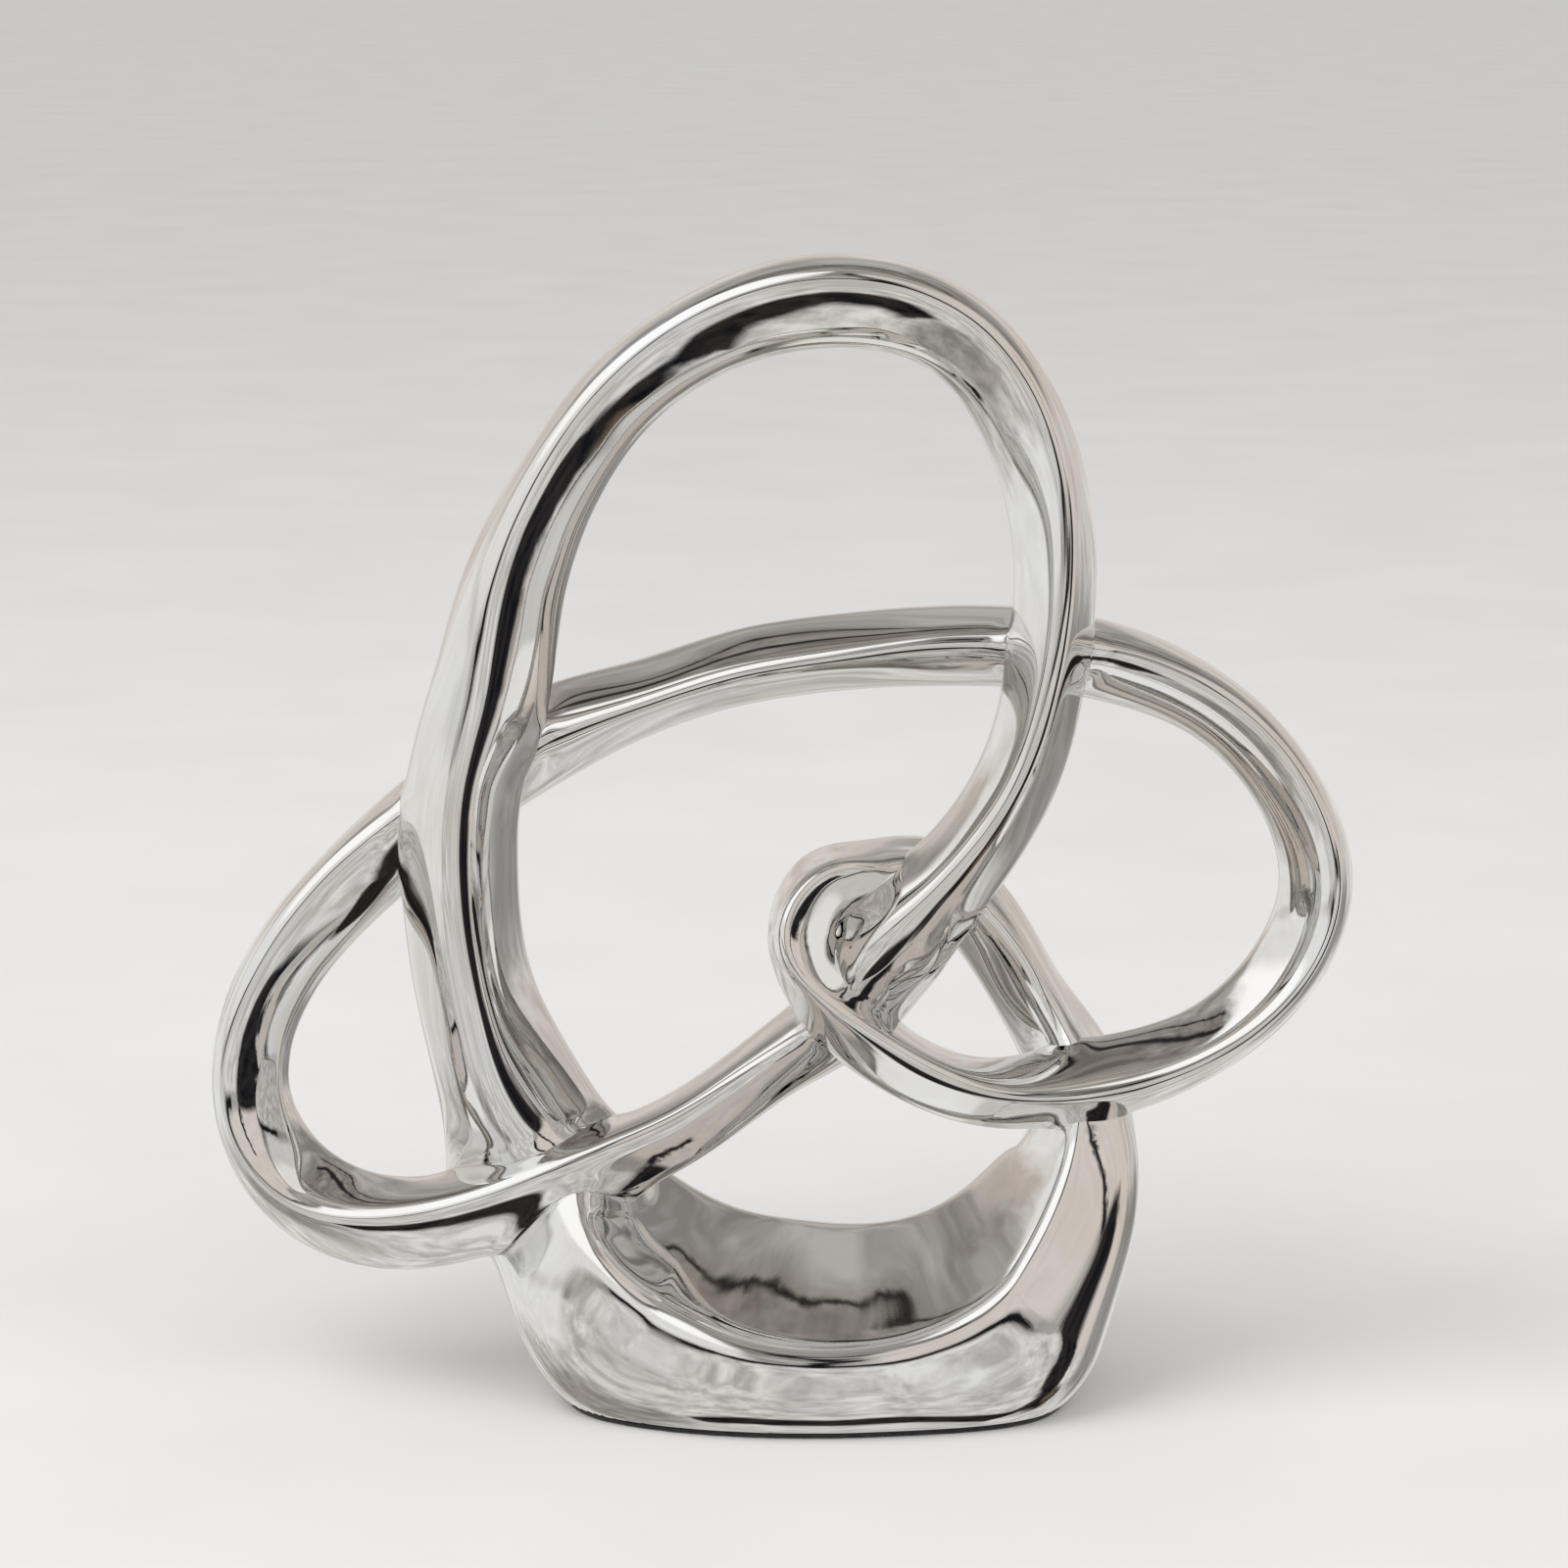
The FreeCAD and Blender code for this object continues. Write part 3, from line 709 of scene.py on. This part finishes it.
@dataclass
class Foot(Casting):
    """The hollow foot, cut flat where it stands on its pad."""

    ring_count: int = 256
    fine_step: float = 0.9
    plain_step: float = 1.3
    floor: float = 2.0
    eased: Pair = (53.1, 55.4)
    ease_over: float = 0.5
    ease_rounds: int = 90
    outline: Array = field(init=False, default_factory=lambda: np.zeros((0, 2)))

    def surface(self, route: Route, places: Array) -> tuple[Array, Array]:
        """The plain surface, eased along the route where the horn spreads, so that its inner rim doesn't fold.

        In each round every row there goes a share of the way to (row before + 2 * row + row after) / 4, and the
        share fades out towards both ends of the eased run.

        Args:
            route: the closed route.
            places: places of the rows.

        Returns:
            Points and outward normals.
        """
        points, _ = super().surface(route, places)
        first, last = self.eased
        share = smooth((places - first) / self.ease_over) * smooth((last - places) / self.ease_over)
        for _ in range(self.ease_rounds):
            middle = (points[:-2] + points[2:] - 2.0 * points[1:-1]) / 4.0
            points[1:-1] += middle * share[1:-1, None, None]
        return points, grid_normals(points)

    def trim(self, points: Array, normals: Array) -> tuple[Array, Array]:
        """Cuts the rings flat at the pad: the run of points below it is laid out evenly between the two cuts.

        Args:
            points: the grid (rows, columns, 3).
            normals: its normals.

        Returns:
            The grid and normals with the flat underside.
        """
        below = points[..., 2] < self.floor
        rows = np.flatnonzero(below.any(1))
        columns = points.shape[1]
        first = below[rows].argmax(1)
        last = columns - 1 - below[rows][:, ::-1].argmax(1)

        def crossing(inner: Array, outer: Array) -> Array:
            """Where the ring meets the pad's plane between two neighbouring points."""
            low, high = points[rows, inner], points[rows, outer % columns]
            share = (self.floor - low[:, 2]) / (high[:, 2] - low[:, 2])
            return low + (high - low) * share[:, None]

        start, end = crossing(first, first - 1), crossing(last, last + 1)
        share = (np.arange(columns)[None] - first[:, None]) / np.maximum(last - first, 1)[:, None]
        laid = start[:, None] + (end - start)[:, None] * np.clip(share, 0.0, 1.0)[..., None]
        inner = (share > 0.0) & (share < 1.0)
        points[rows] = np.where(below[rows][..., None], laid, points[rows])
        normals[rows] = np.where((below[rows] & inner)[..., None], np.array([0.0, 0.0, -1.0]), normals[rows])
        self.outline = np.concatenate([start[:, :2], end[::-1, :2]])
        return points, normals


@dataclass
class FeltPad:
    """The pad of dark pressed felt that the foot stands on, with a soft edge."""

    inset: float = 1.0
    thickness: float = 2.0
    round_over: float = 0.7
    round_steps: int = 6
    around: int = 360
    shares: tuple[float, ...] = (0.3, 0.6, 0.85, 0.96)
    smoothing: tuple[float, ...] = (1.0, 2.0, 3.0, 2.0, 1.0)
    # depth in millimetres, waves round the edge and start of each wave of the cut edge
    fray: tuple[Triple, ...] = ((0.05, 37.0, 0.0), (0.03, 61.0, 1.0), (0.02, 113.0, 0.0))

    def profile(self) -> Array:
        """Steps from the middle of the underside out round the edge and back in over the top.

        Returns:
            Rows of the share of the outline's radius, the distance in from it and the height.
        """
        shares = np.array(self.shares)
        turn = np.linspace(0.0, math.pi / 2.0, self.round_steps)
        inward = self.round_over * (1.0 - np.sin(turn))
        lower = np.stack([turn * 0.0 + 1.0, inward, self.round_over * (1.0 - np.cos(turn))], axis=1)
        under = np.stack([shares, shares * 0.0, shares * 0.0], axis=1)
        bottom = np.concatenate([under, lower])
        top = bottom[::-1] * [1.0, 1.0, -1.0] + [0.0, 0.0, self.thickness]
        return np.concatenate([bottom, top])

    def build(self, outline: Array) -> Piece:
        """Carries the profile round the foot's outline, with a faint uneven edge where the felt was cut.

        The outline's distance from its middle is read at even angles, drawn in by the inset, and each ring of the
        profile scales it. The edge wanders by a tenth of a millimetre in three sine waves.

        Args:
            outline: points (n, 2) of the foot's edge where it meets the pad.

        Returns:
            The finished piece.
        """
        low, high = outline.min(0), outline.max(0)
        middle, half = (low + high) / 2.0, (high - low) / 2.0
        from_middle = outline - middle
        angle = np.arctan2(from_middle[:, 1], from_middle[:, 0])
        order = np.argsort(angle)
        even = np.arange(self.around) * 2.0 * math.pi / self.around - math.pi
        radius = np.interp(even, angle[order], np.linalg.norm(from_middle, axis=1)[order], period=2.0 * math.pi)
        window = np.array(self.smoothing) / sum(self.smoothing)
        radius = sum(weight * np.roll(radius, step - len(window) // 2) for step, weight in enumerate(window))
        edge = np.stack([np.cos(even), np.sin(even)], axis=1) * radius[:, None] * (half - self.inset) / half
        fray = sum(depth * (np.sin(even * count + start) - 1.0) for depth, count, start in self.fray)
        steps = self.profile()
        out = unit(edge)
        rings = middle + edge[None] * steps[:, :1, None] - out[None] * (
            steps[:, 1:2, None] - np.where(steps[:, :1, None] == 1.0, fray[None, :, None], 0.0))
        heights = np.repeat(steps[:, 2:], self.around, axis=1)[..., None]
        grid = np.concatenate([rings, heights], axis=2)
        skin, faces = capped_tube(grid, np.array([[*middle, 0.0], [*middle, self.thickness]]))
        piece = fill_mesh("felt_pad_soft", skin, faces, None)
        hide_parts("felt_pad")
        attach(piece, "root")
        return piece


def new_material(name: str) -> tuple[bpy.types.Material, Tree]:
    """A new material and its empty node tree."""
    material = bpy.data.materials.new(name)
    material.use_nodes = True
    material.node_tree.nodes.clear()
    return material, material.node_tree


@dataclass(frozen=True)
class Noise:
    """A noise texture's settings."""

    scale: float
    detail: float = 2.0
    roughness: float = 0.5
    distortion: float = 0.0

    def read(self, tree: Tree, where: Socket | None = None) -> bpy.types.Node:
        """Adds the texture, read at the given coordinates or else at the object's own."""
        place = where or add_node(tree, "ShaderNodeTexCoord").outputs["Object"]
        return add_node(tree, "ShaderNodeTexNoise", {"Vector": place, "Scale": self.scale, "Detail": self.detail,
                                                     "Roughness": self.roughness, "Distortion": self.distortion})


def sized(size: float, detail: float = 2.0, distortion: float = 0.0) -> Noise:
    """Noise whose features are about size millimetres across on the object's own coordinates."""
    return Noise(1.0 / (size * MM), detail, distortion=distortion)


def worked(tree: Tree, operation: str, *values: object) -> Socket:
    """The result of one Math node."""
    return add_node(tree, "ShaderNodeMath", dict(enumerate(values)), operation=operation).outputs[0]


def bumped(tree: Tree, height: Socket, strength: float, depth: float) -> Socket:
    """The normal of a surface that a pattern raises by up to depth millimetres."""
    return add_node(tree, "ShaderNodeBump", {"Strength": strength, "Distance": depth * MM,
                                             "Height": height}).outputs["Normal"]


def surfaced(tree: Tree, sockets: dict, kind: str = "ShaderNodeBsdfPrincipled") -> None:
    """Adds the surface's shader and the output that it feeds."""
    shader = add_node(tree, kind, sockets)
    add_node(tree, "ShaderNodeOutputMaterial", {"Surface": shader.outputs["BSDF"]})


def spread(tree: Tree, value: Socket, source: Pair, target: Pair) -> Socket:
    """Carries a value from one range to another."""
    sockets = {"Value": value, **dict(enumerate((*source, *target), start=1))}
    return add_node(tree, "ShaderNodeMapRange", sockets).outputs["Result"]


def tinted(tree: Tree, value: Socket, low: str, high: str, source: Pair = NOISE_RANGE) -> Socket:
    """A colour between two hex colours, by where a value lies in its range."""
    share = spread(tree, value, source, (0.0, 1.0))
    mixed = add_node(tree, "ShaderNodeMix", {"Factor": share, 6: linear(low), 7: linear(high)}, data_type="RGBA")
    return mixed.outputs[2]


@dataclass(frozen=True)
class PolishedChrome:
    """Cast aluminium, mopped to a mirror and chrome plated."""

    name: str = "chrome_plate_polished"
    # chromium is a light, faintly cool grey; handling leaves slightly warmer clouds a few centimetres across
    cool: str = "#E4E5E6"
    warm: str = "#DEDBD6"
    clouds: Noise = sized(38.0, 3.0)
    # a mirror is not perfectly sharp: smudges lift the roughness a little in patches of about 14 mm
    roughness: Pair = (0.025, 0.065)
    smudges: Noise = sized(14.0, 4.0, 0.6)
    smudge_range: Pair = (0.45, 0.75)
    # swirls of the last mop are some 0.3 mm apart and are drawn 1.2 mm apart so that they show; a bump is its
    # strength and its depth in millimetres
    swirls: Noise = sized(1.2, distortion=1.5)
    swirl_bump: Pair = (1.0, 0.0012)

    def make(self) -> bpy.types.Material:
        """Builds the node tree: clouded colour, smudged roughness and the mop's faint swirls as bump."""
        material, tree = new_material(self.name)
        clouds, smudges, swirls = [part.read(tree).outputs["Fac"] for part in (self.clouds, self.smudges, self.swirls)]
        surfaced(tree, {"Base Color": tinted(tree, clouds, self.warm, self.cool), "Metallic": 1.0,
                        "Roughness": spread(tree, smudges, self.smudge_range, self.roughness),
                        "Normal": bumped(tree, swirls, *self.swirl_bump)})
        return material


@dataclass(frozen=True)
class PressedFelt:
    """Dark grey pressed wool felt, cut with a knife: matt, with short fibres that catch light at the edge."""

    name: str = "wool_felt_pressed"
    dark: str = "#1B1B1D"
    light: str = "#38383B"
    # fibres are some 0.03 mm thick and are drawn as tufts of 0.5 mm, with larger mottling of 4 mm
    fibres: Noise = sized(0.5, 4.0, 1.0)
    mottles: Noise = sized(4.0, 3.0)
    mottle_range: Pair = (0.12, 0.4)
    fibre_bump: Pair = (0.8, 0.2)
    roughness: float = 0.95
    sheen: float = 0.25

    def make(self) -> bpy.types.Material:
        """Builds the node tree: mottled colour, fibre bump, full roughness and a little sheen."""
        material, tree = new_material(self.name)
        fibres, mottles = [part.read(tree).outputs["Fac"] for part in (self.fibres, self.mottles)]
        both = worked(tree, "MULTIPLY", fibres, mottles)
        surfaced(tree, {"Base Color": tinted(tree, both, self.dark, self.light, self.mottle_range),
                        "Roughness": self.roughness, "Sheen Weight": self.sheen,
                        "Normal": bumped(tree, fibres, *self.fibre_bump)})
        return material


@dataclass(frozen=True)
class PlainSteel:
    """Steel of the parts inside: rolled and zinc plated for the plate and screws, ground for the dowels."""

    name: str
    dark: str
    light: str
    roughness: Pair
    # length of the grain along each axis in millimetres
    grain: Triple
    pattern: Noise = Noise(1.0, 3.0)
    grain_bump: Pair = (0.5, 0.01)

    def make(self) -> bpy.types.Material:
        """Builds the node tree: a grain drawn out along one axis tints the colour and varies the roughness."""
        material, tree = new_material(self.name)
        where = add_node(tree, "ShaderNodeTexCoord").outputs["Object"]
        drawn = add_node(tree, "ShaderNodeMapping", {
            "Vector": where, "Scale": [1.0 / (size * MM) for size in self.grain]}).outputs["Vector"]
        grain = self.pattern.read(tree, drawn).outputs["Fac"]
        surfaced(tree, {"Base Color": tinted(tree, grain, self.dark, self.light), "Metallic": 1.0,
                        "Roughness": spread(tree, grain, NOISE_RANGE, self.roughness),
                        "Normal": bumped(tree, grain, *self.grain_bump)})
        return material


# rolled steel with a bright zinc coat: satin, with long faint streaks from the rollers
ZINC_PLATE = PlainSteel("zinc_plated_steel_rolled", "#8D9093", "#B4B7B9", (0.32, 0.48), (0.6, 12.0, 12.0))
# turned screws, zinc plated: a little brighter, with a fine even grain
ZINC_SCREW = PlainSteel("zinc_plated_steel_turned", "#9A9C9E", "#C2C4C6", (0.22, 0.36), (0.8, 0.8, 0.8))
# dowel pins are centreless ground: bright, with a close grain round the pin
GROUND_PIN = PlainSteel("dowel_steel_ground", "#A5A6A8", "#CBCCCD", (0.18, 0.3), (1.5, 1.5, 1.5))


def hang(name: str, data: bpy.types.ID, place: Triple, turn: Triple) -> Piece:
    """Puts a camera or a lamp into the scene, at a place in metres and turned by Euler angles."""
    holder = bpy.data.objects.new(name, data)
    holder.location = place
    holder.rotation_euler = turn
    bpy.context.scene.collection.objects.link(holder)
    return holder


def dress(piece: Piece, material: bpy.types.Material) -> None:
    """Gives a piece one material in every slot that it has."""
    slots = max(len(piece.material_slots), 1)
    piece.data.materials.clear()
    for _ in range(slots):
        piece.data.materials.append(material)


@dataclass(frozen=True)
class Glow:
    """A soft-edged area that the chrome mirrors, in degrees round from the camera's side and up from level."""

    turn: Pair
    rise: Pair
    soft: float
    colour: str
    fleck: str = ""
    strength: float = 1.0


def back_glows(right: float, left: float, rise: Pair, soft: float, colour: str, fleck: str = "") -> tuple[Glow, Glow]:
    """One area round the back in two halves, both drawn past 180 degrees so that no seam shows there."""
    return Glow((right, 400.0), rise, soft, colour, fleck), Glow((-400.0, left), rise, soft, colour, fleck)


@dataclass
class Studio:
    """The pale studio: floor, surroundings, soft lamps and the camera."""

    aim: Triple = (1.2, 4.0, 166.5)
    distance: float = 1200.0
    elevation: float = 11.5
    focal_length: float = 103.7
    sensor_width: float = 36.0
    clip: Pair = (0.05, 100.0)
    floor_half: float = 30000.0
    floor_lines: int = 41
    floor_dark: str = "#D6D5D4"
    floor_light: str = "#DAD9D8"
    floor_clouds: Noise = sized(110.0, 6.0)
    floor_roughness: float = 0.5
    # name, place, width and power of each lamp in metres and watts, and the point that both face
    lights: tuple[tuple[str, Triple, float, float], ...] = (
        ("key", (-1.1, -0.7, 1.6), 1.4, 19.0), ("fill", (1.2, -0.9, 1.0), 1.6, 6.0))
    lit_point: Triple = (0.0, 0.0, 0.12)
    # what everything but the chrome is lit by
    plain_light: str = "#EDEDED"
    # how far noise shakes the mirrored directions, in degrees round and up
    shake: Noise = Noise(4.5, 5.0, 0.6)
    shake_range: Pair = (0.25, 0.75)
    turn_shake: float = 5.0
    rise_shake: float = 1.8
    # walls and curtains where no glow lies: cloudy greys between these two
    drape: Noise = Noise(3.0, 6.0, 0.55, 0.8)
    drape_range: Pair = (0.38, 0.62)
    wall_dark: str = "#8F8B87"
    wall_light: str = "#C2BEBA"
    # what mottles a glow from its colour to its fleck
    flecks: Noise = Noise(9.0, 6.0, 0.6)
    fleck_range: Pair = (0.36, 0.64)
    # later ones lie on top
    glows: tuple[Glow, ...] = (
        # the pale floor, faintly creased
        Glow((-400.0, 400.0), (-100.0, -1.0), 1.5, "#BDBAB6", "#F4F3F0"),
        # the lit lower part of the wall behind, on both sides of the middle
        *back_glows(96.0, -120.0, (-6.0, 17.0), 5.0, "#CBC2BA", "#E4DDD7"),
        # the darker ceiling behind, and two thin dark rails across it
        *back_glows(128.0, -118.0, (40.0, 74.0), 3.0, "#716B65", "#A8A29C"),
        *back_glows(128.0, -118.0, (41.6, 42.6), 0.5, "#2B2826"),
        *back_glows(128.0, -118.0, (48.0, 51.0), 1.0, "#2B2826"),
        # shade at the foot of the curtain on the left, and the curtain itself
        Glow((-135.0, -50.0), (-72.0, -34.0), 8.0, "#8F8C88", "#B6B3AF"),
        Glow((-150.0, -62.0), (-22.0, 5.0), 5.0, "#EFEEEC", "#FAFAF9"),
        # the large window of soft light on the left, brighter above
        Glow((-135.0, -8.0), (6.0, 80.0), 4.0, "#F1F0EE", "#FAFAF9"),
        Glow((-130.0, -12.0), (27.0, 78.0), 5.0, "#FFFFFF", strength=1.25),
        # the beige wall on the right, and a grey cupboard beside it
        Glow((8.0, 104.0), (7.0, 62.0), 3.0, "#DDD4CC", "#EAE2DB"),
        Glow((62.0, 104.0), (-24.0, 9.0), 4.0, "#DDD4CC", "#EAE2DB"),
        Glow((104.0, 150.0), (-40.0, -8.0), 6.0, "#8F8D8A", "#A8A6A3"),
        # dark panels and the dark side of the table in front on the right
        Glow((64.0, 95.0), (-58.0, -38.0), 4.0, "#12151C", "#3A342F"),
        Glow((-44.0, 72.0), (-70.0, -54.0), 3.0, "#12151C", "#3A342F"),
        Glow((60.0, 83.0), (-42.0, 8.0), 3.0, "#17191F", "#35312F"),
        Glow((80.0, 90.0), (-50.0, -40.0), 3.0, "#6A5B4C"),
        # the dark edge of the table along the horizon in front
        Glow((-34.0, 44.0), (0.5, 5.0), 1.2, "#191B1F"),
        # a dark stand straight ahead, and a dark post on the right
        Glow((0.5, 5.0), (3.0, 56.0), 1.5, "#15171B"),
        Glow((58.0, 63.0), (6.0, 34.0), 1.5, "#2A2A2C"),
    )

    def camera(self) -> None:
        """Places the camera on the photograph's line of sight."""
        rise = math.radians(self.elevation)
        lens = bpy.data.cameras.new("view")
        lens.lens = self.focal_length
        lens.sensor_width = self.sensor_width
        lens.clip_start, lens.clip_end = self.clip
        place = (self.aim[0] * MM, (self.aim[1] - self.distance * math.cos(rise)) * MM,
                 (self.aim[2] + self.distance * math.sin(rise)) * MM)
        bpy.context.scene.camera = hang("view", lens, place, (math.pi / 2.0 - rise, 0.0, 0.0))

    def floor(self) -> None:
        """Lays the pale floor as a wide square of quads that grow outwards with the cube of the way."""
        steps = np.linspace(-1.0, 1.0, self.floor_lines) ** 3 * self.floor_half
        x, y = np.meshgrid(steps, steps)
        points = np.stack([x.ravel(), y.ravel(), np.zeros(x.size)], axis=1)
        number = np.arange(x.size).reshape(x.shape)
        quads = np.stack([number[:-1, :-1], number[:-1, 1:], number[1:, 1:], number[1:, :-1]], axis=-1)
        ground = fill_mesh("floor", points, [quads.reshape(-1, 4)], None)
        ground.visible_glossy = False
        dress(ground, self.floor_material())

    def floor_material(self) -> bpy.types.Material:
        """Pale cloth with faint clouds a hand wide; the chrome mirrors the world's floor instead."""
        material, tree = new_material("pale_cloth_floor")
        colour = tinted(tree, self.floor_clouds.read(tree).outputs["Fac"], self.floor_dark, self.floor_light)
        surfaced(tree, {"Color": colour, "Roughness": self.floor_roughness}, "ShaderNodeBsdfDiffuse")
        return material

    def surroundings(self) -> None:
        """Fills the world: plain pale light for everything, and the studio's light and dark areas for the chrome.

        The direction is turned into degrees round from the camera and up from the horizon, both shaken a little by
        noise so that no edge is ruler straight. Each glow is the product of four smooth steps.
        """
        world = bpy.data.worlds.new("studio")
        world.use_nodes = True
        bpy.context.scene.world = world
        tree = world.node_tree
        tree.nodes.clear()
        where = add_node(tree, "ShaderNodeTexCoord").outputs["Generated"]
        split = add_node(tree, "ShaderNodeSeparateXYZ", {0: where})
        back = worked(tree, "MULTIPLY", split.outputs["Y"], -1.0)
        shaken = add_node(tree, "ShaderNodeSeparateColor", {0: self.shake.read(tree, where).outputs["Color"]})

        def degrees(angle: Socket, wobble: Socket, amount: float) -> Socket:
            """An angle in degrees, shaken by noise."""
            push = spread(tree, wobble, self.shake_range, (-amount, amount))
            return worked(tree, "ADD", worked(tree, "MULTIPLY", angle, 180.0 / math.pi), push)

        turn = degrees(worked(tree, "ARCTAN2", split.outputs["X"], back), shaken.outputs["Red"], self.turn_shake)
        rise = degrees(worked(tree, "ARCSINE", split.outputs["Z"]), shaken.outputs["Green"], self.rise_shake)
        drape, flecks = [part.read(tree, where).outputs["Fac"] for part in (self.drape, self.flecks)]
        colour = tinted(tree, drape, self.wall_dark, self.wall_light, self.drape_range)
        for glow in self.glows:
            share = 1.0
            for value, ends in ((turn, glow.turn), (rise, glow.rise)):
                for edge, soft in zip(ends, (glow.soft, -glow.soft)):
                    step = add_node(tree, "ShaderNodeMapRange", {"Value": value, 1: edge - soft, 2: edge + soft},
                                    interpolation_type="SMOOTHSTEP").outputs["Result"]
                    share = worked(tree, "MULTIPLY", share, step)
            tint = tinted(tree, flecks, glow.colour, glow.fleck, self.fleck_range) if glow.fleck else [
                channel * glow.strength for channel in linear(glow.colour)[:3]] + [1.0]
            colour = add_node(tree, "ShaderNodeMix", {"Factor": share, 6: colour, 7: tint},
                              data_type="RGBA").outputs[2]
        mirrored = add_node(tree, "ShaderNodeBackground", {"Color": colour, "Strength": 1.0})
        plain = add_node(tree, "ShaderNodeBackground", {"Color": linear(self.plain_light), "Strength": 1.0})
        path = add_node(tree, "ShaderNodeLightPath").outputs["Is Glossy Ray"]
        either = add_node(tree, "ShaderNodeMixShader", {0: path, 1: plain.outputs[0], 2: mirrored.outputs[0]})
        add_node(tree, "ShaderNodeOutputWorld", {"Surface": either.outputs[0]})

    def lamps(self) -> None:
        """Hangs two wide soft lamps, high on the left and low on the right; the chrome shows the world instead."""
        for name, spot, size, power in self.lights:
            lamp = bpy.data.lights.new(name, "AREA")
            lamp.shape = "SQUARE"
            lamp.size = size
            lamp.energy = power
            heading = unit(np.array(self.lit_point) - np.array(spot))
            turn = (math.acos(-heading[2]), 0.0, math.atan2(heading[1], heading[0]) - math.pi / 2.0)
            hang(name, lamp, spot, turn).visible_glossy = False

    def build(self) -> None:
        """Sets up the whole studio."""
        bpy.context.scene.view_settings.view_transform = "Standard"
        self.camera()
        self.floor()
        self.surroundings()
        self.lamps()


def main() -> None:
    """Builds the castings, the pad, the steel parts' finishes and the studio, and logs each piece's face count."""
    logging.basicConfig(level=logging.INFO, format="%(name)s: %(message)s")
    Studio().build()
    route = Route()
    fusing = Fusing(route)
    polish = HandPolish()
    chrome = PolishedChrome().make()
    ends = list(route.starts.values())[1:] + [route.count]
    outline = np.zeros((0, 2))
    for (stretch, first), last in zip(route.starts.items(), ends):
        casting = (Foot if stretch is Stretch.BASE_BODY else Casting)(stretch, float(first), float(last))
        piece = casting.build(route, fusing, polish)
        dress(piece, chrome)
        if isinstance(casting, Foot):
            outline = casting.outline
        LOG.info("%s: %d faces", piece.name, len(piece.data.polygons))
    pad = FeltPad().build(outline)
    dress(pad, PressedFelt().make())
    LOG.info("%s: %d faces", pad.name, len(pad.data.polygons))
    for node, finish in (("base_plate", ZINC_PLATE), ("plate_screws", ZINC_SCREW), ("joint_dowels", GROUND_PIN)):
        dress(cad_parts[node], finish.make())
        LOG.info("%s: finished as %s", node, finish.name)


if __name__ == "__main__":
    main()
